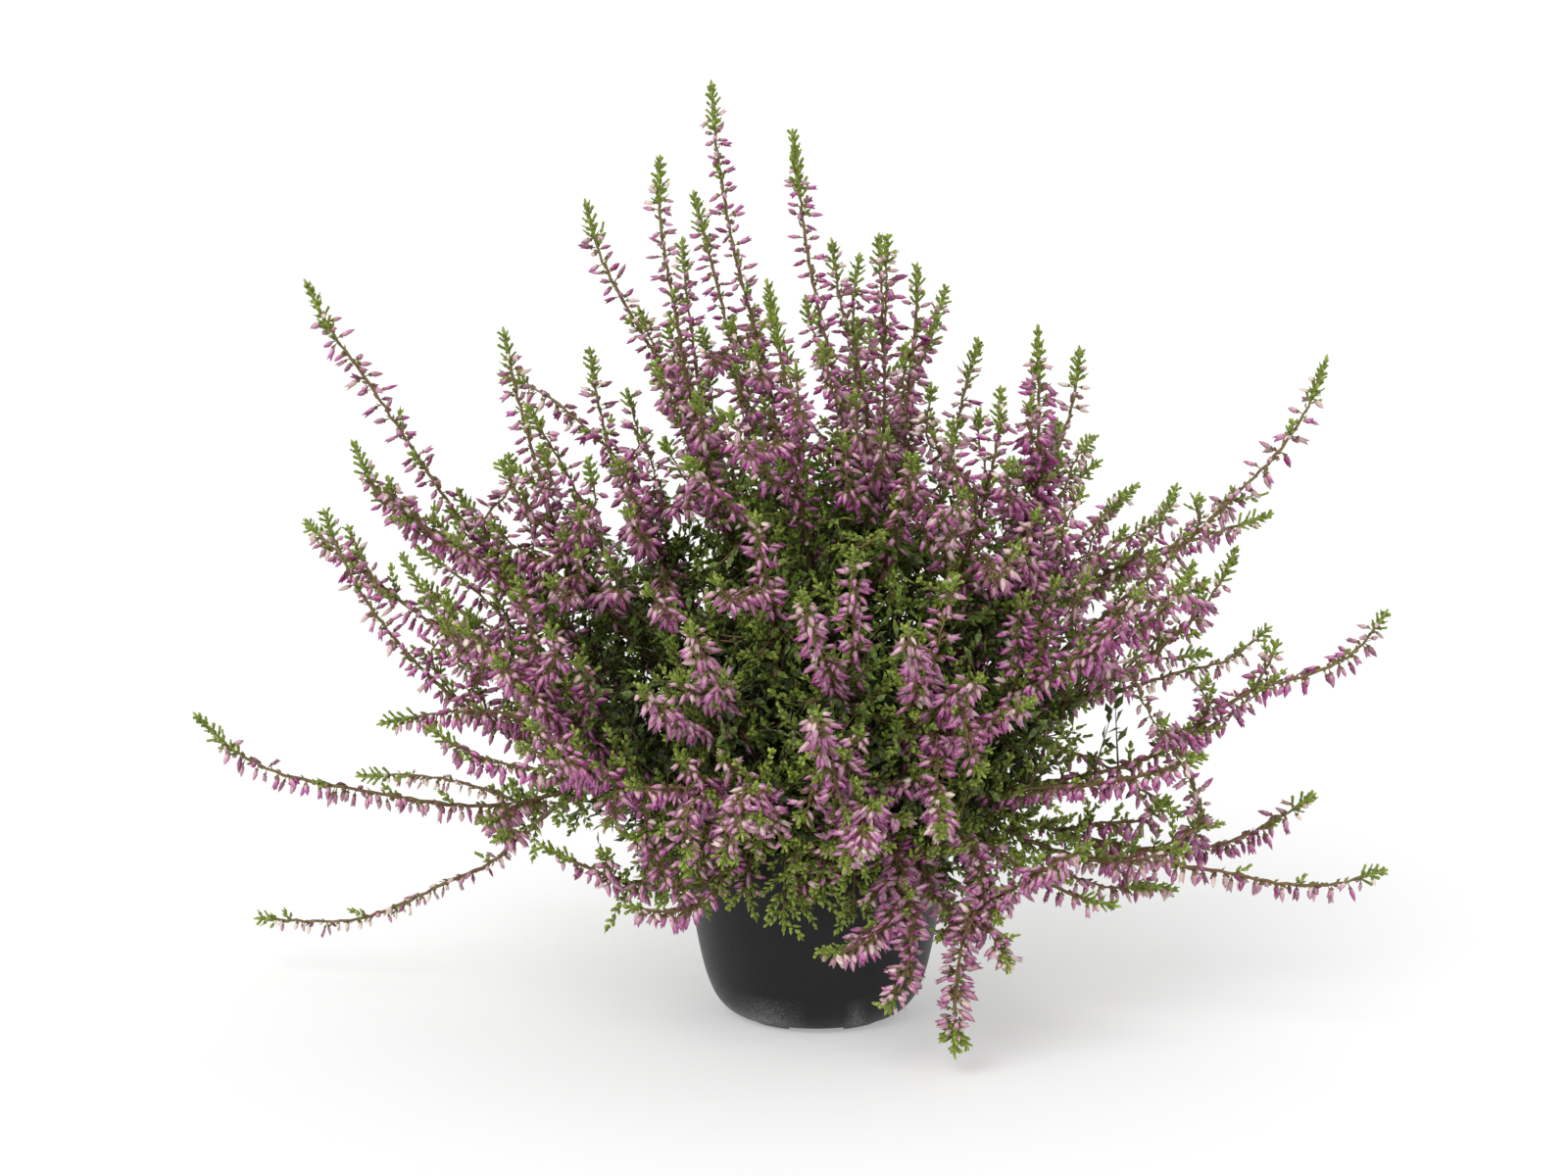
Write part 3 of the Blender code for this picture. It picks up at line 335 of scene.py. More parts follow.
class Tangle:
    """All centre lines as one list of points, with the straight pieces between them and the solid each belongs to."""

    def __init__(self, lines, forks):
        self.names = list(lines)
        self.runs = []
        points, owner, share = [], [], []
        for number, name in enumerate(self.names):
            self.runs.append((len(points), len(lines[name])))
            points += list(lines[name])
            owner += [number] * len(lines[name])
            share += list(np.linspace(0, 1, len(lines[name])))
        self.joints = []
        for parent, at, line in forks:
            number = self.names.index(parent)
            first, count = self.runs[number]
            k = at * (count - 1)
            self.joints.append((len(points), first + int(k), k - int(k)))
            self.runs.append((len(points), len(line)))
            points += list(line)
            owner += [number] * len(line)
            share += list(np.linspace(at, 1, len(line)))
        self.points, self.owner, self.share = np.array(points), np.array(owner), np.array(share)
        self.pieces = np.array([first + i for first, count in self.runs for i in range(count - 1)])
        self.held = np.ones(len(points))
        for first, _ in self.runs[: len(self.names)]:
            self.held[first], self.held[first + 1] = 0.0, 0.35
        for first, _, _ in self.joints:
            self.held[first] = 0.0

    def close_pairs(self, reach):
        p, q = self.points[self.pieces], self.points[self.pieces + 1]
        middle, half = (p + q) / 2, np.linalg.norm(q - p, axis=1) / 2
        apart = np.linalg.norm(middle[:, None] - middle[None], axis=2) - half[:, None] - half[None]
        who = self.owner[self.pieces]
        i, j = np.nonzero(np.triu((apart < reach) & (who[:, None] != who[None]), 1))
        s, t, way = nearest(p[i], q[i], p[j], q[j])
        return i, j, s, t, way

    def settle(self, rounds):
        """Moves centre lines of different shoots apart, mostly in depth, and over the pot's lip."""
        favour = np.array([0.35, 1.0, 0.35])
        for _ in range(rounds):
            i, j, s, t, way = self.close_pairs(7.0)
            a, b = self.pieces[i], self.pieces[j]
            d = np.linalg.norm(way, axis=1)
            wish = 3.2 + 3.2 * np.minimum(self.share[a], self.share[b])
            near = d < wish
            a, b, s, t, way, d, wish = a[near], b[near], s[near], t[near], way[near], d[near], wish[near]
            side = np.where(way[:, 1] < 0, -1.0, 1.0)
            lead = way / np.maximum(d, 1e-6)[:, None] * favour
            lead[:, 1] += side * 0.25
            lead /= np.linalg.norm(lead, axis=1)[:, None]
            step = lead * ((wish - d) * 0.45)[:, None]
            move = np.zeros_like(self.points)
            weight = np.full(len(self.points), 1e-9)
            for end, w, sign in ((a, 1 - s, 1), (a + 1, s, 1), (b, 1 - t, -1), (b + 1, t, -1)):
                np.add.at(move, end, sign * step * w[:, None])
                np.add.at(weight, end, w)
            move /= np.maximum(weight, 1.0)[:, None]
            smoothed = move.copy()
            for first, count in self.runs:
                m = move[first : first + count]
                smoothed[first : first + count] = 0.5 * m + 0.25 * np.vstack([m[:1], m[:-1]]) + 0.25 * np.vstack([m[1:], m[-1:]])
            self.points = self.points + smoothed * self.held[:, None]
            for part in (0.0, 0.25, 0.5, 0.75):
                spot = self.points[self.pieces] * (1 - part) + self.points[self.pieces + 1] * part
                r = np.hypot(spot[:, 0], spot[:, 1])
                dome = CROWN_FOOT + CROWN_RISE * np.clip(1.0 - (r / CROWN_RADIUS) ** 2, 0, None) + (2.6 if part else 0.0)
                floor = np.where(r < 38, dome, np.where(r < 60, LIP_CLEAR, LIP_CLEAR - (r - 60) * 6.0))
                lift = np.clip(floor - spot[:, 2], 0, None)
                for end, w in ((self.pieces, 1 - part), (self.pieces + 1, part)):
                    np.maximum.at(self.points[:, 2], end, self.points[end, 2] + 0.6 * lift * w * (self.held[end] > 0.1))
            self.points[:, 2] = np.maximum(self.points[:, 2], 5.2 * (self.held > 0.5))
            for first, at, part in self.joints:
                self.points[first] = self.points[at] * (1 - part) + self.points[at + 1] * part

    def radii(self):
        """A radius for each point, so that no two shoots touch."""
        i, j, _, _, way = self.close_pairs(11.0)
        room = np.full(len(self.points), 99.0)
        d = np.linalg.norm(way, axis=1)
        for piece, far in ((self.pieces[i], d), (self.pieces[j], d)):
            np.minimum.at(room, piece, far)
            np.minimum.at(room, piece + 1, far)
        wanted = np.interp(
            self.share,
            [0.0, 0.12, 0.24, 0.40, 0.55, 0.80, 0.92, 1.0],
            [FOOT_RADIUS, FOOT_RADIUS, 1.4, LEAF_RADIUS, FLOWER_RADIUS, FLOWER_RADIUS, 3.0, TIP_RADIUS],
        )
        radius = np.minimum(wanted, room / 2 - CLEARANCE)
        return np.maximum(radius, LEAST_RADIUS), room


def turned(profile, sides, bump=None):
    """A closed solid turned round the Z axis from (radius, height) points in mm, both ends on the axis."""
    bm = bmesh.new()
    low = bm.verts.new((0, 0, profile[0][1] * MM))
    high = bm.verts.new((0, 0, profile[-1][1] * MM))
    rings = []
    for r, z in profile[1:-1]:
        ring = []
        for k in range(sides):
            a = 2 * math.pi * k / sides
            dr, dz = bump(r, z, a) if bump else (0.0, 0.0)
            ring.append(bm.verts.new(((r + dr) * MM * math.cos(a), (r + dr) * MM * math.sin(a), (z + dz) * MM)))
        rings.append(ring)
    for k in range(sides):
        n = (k + 1) % sides
        bm.faces.new((low, rings[0][n], rings[0][k]))
        bm.faces.new((high, rings[-1][k], rings[-1][n]))
        for inner, outer in zip(rings, rings[1:]):
            bm.faces.new((inner[k], inner[n], outer[n], outer[k]))
    return bm


# ---------------------------------------------------------------- small shapes

def unit(v):
    return v / np.maximum(np.linalg.norm(v, axis=-1, keepdims=True), 1e-9)


class Shape:
    """A small closed shape: unit long on Z, unit half width on X and Y. mark holds (along, side) for each point."""

    def __init__(self, points, faces, mark):
        self.points, self.faces, self.mark = np.array(points, float), np.array(faces, int), np.array(mark, float)
        corners = self.points[self.faces]
        if np.linalg.det(corners).sum() < 0:
            self.faces = self.faces[:, ::-1]


def spun(profile, sides, notch=None, bend=0.0, wide=1.0):
    """A shape turned round Z from (along, radius) points with both ends on the axis. notch = (along, radius) of every
    second point of the last ring, which makes lobes."""
    points, mark = [(0.0, 0.0, profile[0][0])], [(profile[0][0], 0.5)]
    rings = profile[1:-1]
    for k, (t, r) in enumerate(rings):
        for j in range(sides):
            a = 2 * math.pi * j / sides
            at, width = notch if notch and k == len(rings) - 1 and j % 2 else (t, r)
            points.append((width * math.cos(a) * wide, width * math.sin(a), at))
            mark.append((at, 0.5 + 0.5 * math.cos(a * 2)))
    points.append((0.0, 0.0, profile[-1][0]))
    mark.append((profile[-1][0], 0.5))
    faces = []
    last = len(points) - 1
    for j in range(sides):
        n = (j + 1) % sides
        faces.append((0, 1 + n, 1 + j))
        for k in range(len(rings) - 1):
            a, b = 1 + k * sides, 1 + (k + 1) * sides
            faces += [(a + j, a + n, b + n), (a + j, b + n, b + j)]
        top = 1 + (len(rings) - 1) * sides
        faces.append((top + j, top + n, last))
    points = [(x + bend * z * z, y, z) for x, y, z in points]
    return Shape(points, faces, mark)


def plume(pairs, out=1.0, dip=0.46):
    """A leafy shoot of scale leaves in crossed pairs: rings of four points, two out and two in by turns."""
    points, mark, faces = [(0.0, 0.0, 0.0)], [(0.0, 0.5)], []
    step = 1.0 / (pairs + 0.35)
    for k in range(pairs):
        t = (k + 0.45) * step
        taper = (0.84 + 0.28 * math.sin(math.pi * min(1.0, t * 1.15))) * (0.78 if k == pairs - 1 else 1.0)
        for j in range(4):
            a = math.pi / 2 * j + 0.18 * k
            # the in points get a low mark, which the leaf colour turns darker: painted shade in the dips between scale
            # leaves
            if (j + k) % 2 == 0:
                r, z, m = out * taper, t + 0.60 * step, 0.92
            else:
                r, z, m = dip * taper, t - 0.05 * step, 0.08
            points.append((r * math.cos(a), r * math.sin(a), z))
            mark.append((m, 0.5))
    points.append((0.0, 0.0, 1.0))
    mark.append((0.9, 0.5))
    last = len(points) - 1
    for j in range(4):
        n = (j + 1) % 4
        faces.append((0, 1 + n, 1 + j))
        for k in range(pairs - 1):
            a, b = 1 + 4 * k, 5 + 4 * k
            if (j + k) % 2 == 0:
                faces += [(a + j, a + n, b + j), (a + n, b + n, b + j)]
            else:
                faces += [(a + j, a + n, b + n), (a + j, b + n, b + j)]
        top = 1 + 4 * (pairs - 1)
        faces.append((top + j, top + n, last))
    return Shape(points, faces, mark)


BUD = spun([(0, 0), (0.10, 0.66), (0.40, 1.06), (0.76, 0.62), (1.0, 0)], 4, bend=0.22)
SLIM_BUD = spun([(0, 0), (0.26, 0.98), (0.66, 0.80), (1.0, 0)], 4, bend=-0.28)
OPEN_BUD = spun([(0, 0), (0.30, 0.92), (1.0, 1.02), (0.60, 0)], 6, notch=(0.74, 0.66), bend=0.12)
FAR_BUD = spun([(0, 0), (0.28, 0.95), (0.70, 0.75), (1.0, 0)], 4, bend=0.2)
CALYX = spun([(0, 0), (0.42, 1.0), (1.0, 0)], 3)
PLUME = plume(3)
SHORT_PLUME = plume(2)
THORN = Shape([(1, 0, 0), (-0.5, 0.87, 0), (-0.5, -0.87, 0), (0, 0, 1)], [(0, 2, 1), (0, 1, 3), (1, 2, 3), (2, 0, 3)], [(0, 0), (0, 0), (0, 0), (1, 0)])
SLIVER = Shape([(0, 0, 0), (1.0, 0, 0.45), (-0.55, 0.75, 0.55), (0, 0, 1)], [(0, 2, 1), (0, 1, 3), (1, 2, 3), (2, 0, 3)], [(0, 0.5), (0.4, 0.5), (0.5, 0.5), (0.8, 0.5)])


def rope(rings, sides):
    """A stubby leaf shoot: each ring turned half a side from the last, so that its faces read as scales."""
    points, mark, faces = [(0.0, 0.0, 0.0)], [(0.0, 0.0)], []
    for k, (t, r) in enumerate(rings):
        for j in range(sides):
            a = 2 * math.pi * (j + 0.5 * (k % 2)) / sides
            points.append((r * math.cos(a), r * math.sin(a), t))
            mark.append((t, 0.5))
    points.append((0.0, 0.0, 1.0))
    mark.append((1.0, 1.0))
    last = len(points) - 1
    for j in range(sides):
        n = (j + 1) % sides
        faces.append((0, 1 + n, 1 + j))
        for k in range(len(rings) - 1):
            a, b = 1 + k * sides, 1 + (k + 1) * sides
            if k % 2 == 0:
                faces += [(a + j, a + n, b + j), (b + j, a + n, b + n)]
            else:
                faces += [(a + j, b + n, b + j), (a + j, a + n, b + n)]
        top = 1 + (len(rings) - 1) * sides
        faces.append((top + j, top + n, last))
    return Shape(points, faces, mark)


ROPE = rope([(0.30, 1.0), (0.74, 0.86)], 3)
SPINDLE = spun([(0, 0), (0.46, 1.0), (1.0, 0)], 3)


class Heap:
    """Copies of small shapes, gathered into one mesh. tone = (along, chance, side or kind, age or paleness); the side
    of flowers and the age of other shapes carry painted light, higher where a point faces up and out of the plant.
    """

    def __init__(self):
        self.co, self.tri, self.tone, self.count = [], [], [], 0

    def add(self, shape, origin, axes, size, chance, kind, age):
        """origin (m,3) mm, axes (m,3,3) with X, Y, Z as rows, size (m,3); chance, kind and age (m,). kind None = side
        mark with painted light.
        """
        m, n = len(origin), len(shape.points)
        if not m:
            return
        local = shape.points[None] * size[:, None]
        co = np.einsum("mnk,mkj->mnj", local, axes)
        # painted light: how far each point looks up and out of the plant, which makes that side lighter in colour
        round_it = co - axes[:, 2][:, None] * (co * axes[:, 2][:, None]).sum(-1, keepdims=True)
        long = np.linalg.norm(round_it, axis=-1)
        painted_light_from = unit(unit((origin - MIDDLE) / REACH) * 0.6 + np.array([0.0, 0.0, 0.8]))
        lit = np.where(long > 1e-6, (round_it * painted_light_from[:, None]).sum(-1) / np.maximum(long, 1e-6), 0.0)
        self.put(co + origin[:, None], shape, chance, kind, age, lit)

    def put(self, co, shape, chance, kind, age, lit=None):
        m, n = co.shape[:2]
        self.co.append(co.reshape(-1, 3))
        self.tri.append((shape.faces[None] + (self.count + np.arange(m) * n)[:, None, None]).reshape(-1, 3))
        tone = np.empty((m, n, 4))
        tone[..., 0] = shape.mark[None, :, 0]
        tone[..., 1] = np.broadcast_to(chance, (m,))[:, None]
        tone[..., 2] = shape.mark[None, :, 1] if kind is None else np.broadcast_to(kind, (m,))[:, None]
        tone[..., 3] = np.broadcast_to(age, (m,))[:, None]
        # painted light: flowers get it in the side value, which their colour turns lighter or darker; other shapes get
        # it added to their age, which makes leaves lighter
        if lit is not None and kind is None:
            tone[..., 2] = np.clip(0.5 + 0.42 * lit + 0.16 * (tone[..., 2] - 0.5), 0, 1)
        elif lit is not None:
            tone[..., 3] = np.clip(tone[..., 3] + 0.14 * lit, 0, 1)
        self.tone.append(tone.reshape(-1, 4))
        self.count += m * n

    def tubes(self, points, radii, sides, chance, kind, age, along=(0.0, 1.0)):
        """Closed tubes: points (m,k,3), radii (m,k)."""
        m, k = points.shape[:2]
        if not m:
            return
        d = np.empty_like(points)
        d[:, 1:-1] = points[:, 2:] - points[:, :-2]
        d[:, 0], d[:, -1] = points[:, 1] - points[:, 0], points[:, -1] - points[:, -2]
        d = unit(d)
        side = np.cross(d[:, 0], np.where(np.abs(d[:, 0, 2:3]) < 0.9, [[0.0, 0, 1]], [[1.0, 0, 0]]))
        rings = []
        angle = 2 * np.pi * np.arange(sides) / sides
        for i in range(k):
            side = unit(side - d[:, i] * (side * d[:, i]).sum(-1, keepdims=True))
            other = np.cross(d[:, i], side)
            ring = side[:, None] * np.cos(angle)[None, :, None] + other[:, None] * np.sin(angle)[None, :, None]
            rings.append(points[:, i, None] + ring * radii[:, i, None, None])
        co = np.concatenate(rings, axis=1)
        faces, mark = [], []
        for i in range(k):
            t = along[0] + (along[1] - along[0]) * i / (k - 1)
            mark += [(t, 0.0)] * sides
            if i < k - 1:
                a, b = i * sides, (i + 1) * sides
                for j in range(sides):
                    n = (j + 1) % sides
                    faces += [(a + j, a + n, b + n), (a + j, b + n, b + j)]
        for j in range(1, sides - 1):
            faces.append((0, j + 1, j))
            faces.append(((k - 1) * sides, (k - 1) * sides + j, (k - 1) * sides + j + 1))
        plain = Shape.__new__(Shape)
        plain.points, plain.faces, plain.mark = co[0], np.array(faces), np.array(mark)
        self.put(co, plain, chance, kind, age)

    def faces(self):
        return sum(len(t) for t in self.tri)

    def build(self, name, material, slot, smooth_faces, cut=None):
        if not self.count:
            return None
        co, tri, tone = np.concatenate(self.co), np.concatenate(self.tri), np.concatenate(self.tone)
        mesh = bpy.data.meshes.new(name)
        mesh.from_pydata((co * MM).tolist(), [], tri.tolist())
        attribute = mesh.color_attributes.new("tone", "FLOAT_COLOR", "POINT")
        attribute.data.foreach_set("color", tone.astype(np.float32).ravel())
        if smooth_faces:
            mesh.shade_smooth()
        else:
            mesh.shade_flat()
        mesh.materials.append(material)
        obj = bpy.data.objects.new(name, mesh)
        bpy.context.scene.collection.objects.link(obj)
        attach(obj, "root")
        return obj


def axes_for(direction, roll):
    """Axes (m,3,3) whose Z is direction, turned round it by roll."""
    z = unit(direction)
    x = np.cross(z, np.where(np.abs(z[:, 2:3]) < 0.9, [[0.0, 0, 1]], [[1.0, 0, 0]]))
    x = unit(x)
    y = np.cross(z, x)
    c, s = np.cos(roll)[:, None], np.sin(roll)[:, None]
    return np.stack([x * c + y * s, y * c - x * s, z], axis=1)


class Line:
    """A smooth stem line with a frame that doesn't twist."""

    def __init__(self, points):
        self.p = smooth(points, 1.0, 12)
        self.run = np.concatenate([[0.0], np.cumsum(np.linalg.norm(np.diff(self.p, axis=0), axis=1))])
        self.length = self.run[-1]
        self.t = unit(np.gradient(self.p, axis=0))
        side = np.cross(self.t[0], [0.3, 0.9, 0.1])
        sides = []
        for t in self.t:
            side = side - t * (side @ t)
            side = side / math.sqrt(side @ side)
            sides.append(side)
        self.side = np.array(sides)

    def at(self, s):
        s = np.clip(np.asarray(s, float), 0, self.length)
        pick = lambda a: np.stack([np.interp(s, self.run, a[:, k]) for k in range(3)], axis=-1)
        t, side = unit(pick(self.t)), pick(self.side)
        side = unit(side - t * (side * t).sum(-1, keepdims=True))
        return pick(self.p), t, side, np.cross(t, side)


def clear(origin, reach, room=0.0):
    """True where a small piece stands clear of the pot and the floor."""
    def free(p):
        r = np.hypot(p[:, 0], p[:, 1]) - room
        return (p[:, 2] > 1.3) & ~((r < 54.5) & (p[:, 2] < 75.6) & (r > 36)) & ~((r <= 36) & (p[:, 2] < 67.5)) & ~((p[:, 2] <= 72) & (r < 54.5))
    return free(origin) & free(reach)


# ---------------------------------------------------------------- how each shoot grows

# name: green tip (mm), length with flowers (mm), node gap (mm), flowers at a node, paleness, flower size
STYLE = {
    "top_1": (16, 130, 3.8, 2.6, 0.2, 0.92),
    "top_2": (22, 125, 3.9, 2.6, 0.12, 0.92),
    "top_3": (15, 115, 3.7, 2.7, 0.18, 0.92),
    "top_4": (12, 120, 3.8, 2.6, 0.15, 0.92),
    "top_5": (14, 120, 3.8, 2.6, 0.15, 0.92),
    "top_9": (24, 80, 3.7, 2.8, 0.12, 0.94),
    "right_1": (16, 130, 3.9, 2.4, 0.36, 1.0),
    "right_3": (7, 150, 3.6, 2.8, 0.14, 1.0),
    "right_4": (6, 95, 3.8, 2.2, 0.6, 0.85),
    "right_6": (8, 75, 3.2, 3.2, 0.12, 1.05),
    "right_7": (8, 105, 3.8, 2.5, 0.3, 1.0),
    "right_8": (18, 120, 2.9, 3.6, 0.08, 1.05),
    "right_9": (11, 90, 4.0, 2.2, 0.45, 0.95),
    "right_10": (14, 70, 4.2, 2.0, 0.5, 0.9),
    "right_13": (6, 85, 3.0, 3.3, 0.08, 1.05),
    "right_14": (12, 95, 2.9, 3.6, 0.08, 1.05),
    "left_1": (19, 150, 3.8, 2.6, 0.2, 1.0),
    "left_4": (15, 140, 3.4, 3.0, 0.12, 1.0),
    "left_5": (9, 160, 3.6, 2.7, 0.14, 1.0),
    "left_7": (20, 60, 4.2, 1.8, 0.28, 0.9),
    "left_8": (20, 112, 3.8, 2.6, 0.24, 1.0),
    "left_9": (6, 120, 3.6, 2.3, 0.65, 0.72),
    "left_10": (6, 110, 3.1, 3.3, 0.08, 1.05),
    "left_11": (6, 90, 3.1, 3.3, 0.08, 1.05),
    "front_1": (12, 80, 3.3, 3.0, 0.16, 1.0),
    "front_2": (5, 50, 3.6, 2.8, 0.16, 1.05),
    "front_3": (4, 50, 3.8, 2.6, 0.14, 1.0),
    "front_4": (4, 50, 3.3, 3.0, 0.2, 1.05),
    "front_5": (4, 65, 3.1, 3.3, 0.1, 1.1),
    "front_6": (4, 34, 3.4, 2.8, 0.14, 1.05),
    "front_7": (2, 34, 2.5, 4.0, 0.08, 1.15),
    "front_8": (3, 38, 2.9, 3.4, 0.16, 1.1),
    "front_9": (3, 38, 3.1, 3.2, 0.14, 1.05),
    "trailing_1": (10, 80, 2.6, 4.0, 0.20, 1.08),
    "trailing_2": (5, 80, 2.6, 4.2, 0.20, 1.10),
    "trailing_3": (6, 115, 2.6, 4.0, 0.20, 1.08),
    "trailing_4": (6, 85, 2.8, 3.6, 0.14, 1.05),
    "back_6": (16, 55, 4.2, 2.0, 0.25, 0.95),
}
MIDDLE, REACH = np.array([-4.0, 0.0, 118.0]), np.array([135.0, 115.0, 115.0])


def outerness(p):
    """0 deep inside the plant, 1 and over at its face."""
    return np.linalg.norm((p - MIDDLE) / REACH, axis=-1)


class Shoot:
    """The stem, leaf and flower heaps of one shoot."""

    def __init__(self, name):
        self.name = name
        # flowers at a node, against the table
        self.plenty = 1.00 if name.startswith("top") or name in ("right_1", "right_4", "right_9", "right_10", "left_9", "left_1") else 1.16 if name.startswith(("front", "trailing")) else 0.82 if name.startswith("back") else 0.98
        self.stem, self.leaf, self.flower = Heap(), Heap(), Heap()

    def stalk(self, line, thick, thin, low, high, foot):
        """The woody line itself."""
        count = max(4, int(line.length / 3.6) + 1)
        s = np.linspace(0, line.length, count)
        p, t, side, other = line.at(s)
        phase = rng.uniform(0, 6.28)
        sway = 0.32 * np.sin(s * 0.75 + phase) * np.clip(s / 12, 0, 1) * np.clip((line.length - s) / 8, 0, 1)
        p = p + side * sway[:, None] + other * (0.22 * np.sin(s * 1.13 + phase * 2) * np.clip(s / 12, 0, 1))[:, None]
        radius = thick + (thin - thick) * (s / line.length) ** 0.8
        radius = radius * (1 + 0.10 * np.sin(s * 1.9 + phase))
        if foot:
            radius = radius + 1.5 * np.exp(-s / 2.6)
            p[0] = p[0] - np.array([0, 0, 1.6])
        self.stem.tubes(p[None], radius[None], 5, rng.uniform(), 0.0, 0.0, along=(low, high))

    def flowers(self, line, start, end, gap, many, pale, size, fade):
        """Flower buds in opposite pairs along a stem, hanging a little where the stem leans."""
        if end - start < 3:
            return
        nodes = np.arange(start, end, gap)
        nodes = nodes + rng.uniform(-0.25, 0.25, len(nodes)) * gap
        turn = rng.uniform(0, 6.28)
        s, angle, young = [], [], []
        for k, at in enumerate(nodes):
            away = (end - at) / max(fade, 1e-6)
            n = max(1, int(self.plenty * many * rng.uniform(0.75, 1.25) + rng.uniform(0, 1) - (0.9 if away < 0.6 else 0.0)))
            for j in range(n):
                s.append(at + rng.uniform(-0.35, 0.35) * gap)
                angle.append(turn + k * (math.pi / 2 + 0.17) + math.pi * (j % 2) + rng.normal(0, 0.42) + (0.5 if j > 1 else 0.0))
                young.append(min(1.0, max(0.0, 1.0 - away)))
        s, angle, young = np.array(s), np.array(angle), np.array(young)
        p, t, side, other = line.at(s)
        m = len(s)
        radial = side * np.cos(angle)[:, None] + other * np.sin(angle)[:, None]
        level = 1.0 - t[:, 2] ** 2
        radial[:, 2] -= np.clip(radial[:, 2], 0, None) * np.clip(level * 1.15 - 0.1, 0, 1) * 0.85
        radial = unit(radial + 1e-6)
        down = np.array([0.0, 0.0, -1.0])
        stalk = unit(radial + t * rng.normal(0.30, 0.12, m)[:, None] + down * (0.12 * level)[:, None])
        reach = rng.uniform(1.1, 2.5, m) * (1 - 0.30 * young) * size
        facing = radial + down * (0.10 + 0.95 * level**1.5)[:, None] + t * rng.normal(0.10, 0.24, m)[:, None]
        facing = unit(facing + rng.normal(0, 0.24, (m, 3)))
        length = rng.normal(4.9, 0.75, m).clip(3.3, 6.6) * size * (1 - 0.34 * young)
        width = rng.normal(1.04, 0.13, m).clip(0.75, 1.35) * size * (1 - 0.18 * young)
        knee = p + stalk * (reach * 0.62)[:, None]
        base = knee + facing * (reach * 0.38)[:, None]
        keep = clear(base, base + facing * length[:, None])
        p, knee, base, facing, length, width, young = (a[keep] for a in (p, knee, base, facing, length, width, young))
        m = len(p)
        if not m:
            return
        axes = axes_for(facing, rng.uniform(0, 6.28, m))
        chance = rng.uniform(0, 1, m)
        outer = np.clip((outerness(base) - 0.95) / 0.35, 0, 1)
        paleness = np.clip(pale * rng.uniform(0.0, 1.7, m) + (0.30 + 0.45 * outer) * young + (rng.uniform(0, 1, m) < 0.05) * 0.6, 0, 1)
        pick = np.where(outerness(base) < 0.66, 2.0, rng.uniform(0, 1, m))
        at = base + facing * (length * 0.10)[:, None]
        box = np.stack([width, width, length], axis=1)
        for shape, low, high in ((BUD, 0.0, 0.34), (SLIM_BUD, 0.34, 0.72), (OPEN_BUD, 0.72, 1.1), (FAR_BUD, 1.5, 3.0)):
            k = (pick >= low) & (pick < high)
            self.flower.add(shape, at[k], axes[k], box[k], chance[k], None, paleness[k])
        cup = np.stack([width * 1.0, width * 1.0, length * 0.46], axis=1)
        self.leaf.add(CALYX, base - facing * (length * 0.03)[:, None], axes, cup, chance, 1.0, np.clip(0.55 + 0.3 * paleness, 0, 1))
        way = base + facing * 0.8 - p
        reach = np.linalg.norm(way, axis=1)
        self.stem.add(THORN, base + facing * 0.8, axes_for(-way, rng.uniform(0, 6.28, m)), np.stack([np.full(m, 0.42), np.full(m, 0.42), reach + 0.4], axis=1), chance, 1.0, paleness)

    def leaflets(self, p, direction, length, radius, age, detail, dull=0.0):
        """Scale-leaf shoots. detail: 3 finest to 0 plain."""
        keep = clear(p, p + direction * length[:, None])
        p, direction, length, radius, age, detail = (a[keep] for a in (p, direction, length, radius, age, detail))
        m = len(p)
        if not m:
            return
        axes = axes_for(direction, rng.uniform(0, 6.28, m))
        box = np.stack([radius, radius, length], axis=1)
        chance = rng.uniform(0, 1, m)
        for kind, shape in ((-1, SLIVER), (0, SPINDLE), (1, ROPE), (2, SHORT_PLUME), (3, PLUME)):
            k = detail == kind
            self.leaf.add(shape, p[k], axes[k], box[k], chance[k], dull, age[k])

    def green_tip(self, line, start, end, gap, angle, longest, radius, age=1.0):
        """The leafy growing end of a stem: a leader and short shoots that stand off it like a feather."""
        if end - start < 1.5:
            return
        s = np.arange(start, end - 0.4, gap * 0.8)
        p, t, side, other = line.at(s)
        m = len(s)
        share = (s - start) / (end - start)
        self.leaflets(p - t * 0.5, unit(t + rng.normal(0, 0.10, (m, 3))), np.full(m, gap * 0.8 + 2.0), radius * (1.10 - 0.25 * share), np.full(m, age * 0.9), np.full(m, 1))
        s = np.repeat(np.arange(start - 1.0, end - 1.2, gap), 2)
        s = np.clip(s + rng.uniform(-0.3, 0.3, len(s)) * gap, 0, end - 1.0)
        m = len(s)
        if not m:
            return
        p, t, side, other = line.at(s)
        share = np.clip((s - start) / (end - start), 0, 1)
        turn = (np.arange(m) // 2) * (math.pi / 2 + 0.12) + (np.arange(m) % 2) * math.pi + rng.normal(0, 0.2, m)
        radial = side * np.cos(turn)[:, None] + other * np.sin(turn)[:, None]
        tilt = angle * rng.uniform(0.85, 1.2, m)
        way = unit(t * np.cos(tilt)[:, None] + radial * np.sin(tilt)[:, None] + np.array([0, 0, 0.08]))
        length = longest * (1 - 0.46 * share**1.6) * rng.uniform(0.78, 1.15, m)
        self.leaflets(p, way, length, radius * rng.uniform(0.88, 1.15, m), np.clip(age * rng.uniform(0.88, 1.18, m), 0, 1.1), np.where(rng.uniform(0, 1, m) < 0.36, 3, 2))

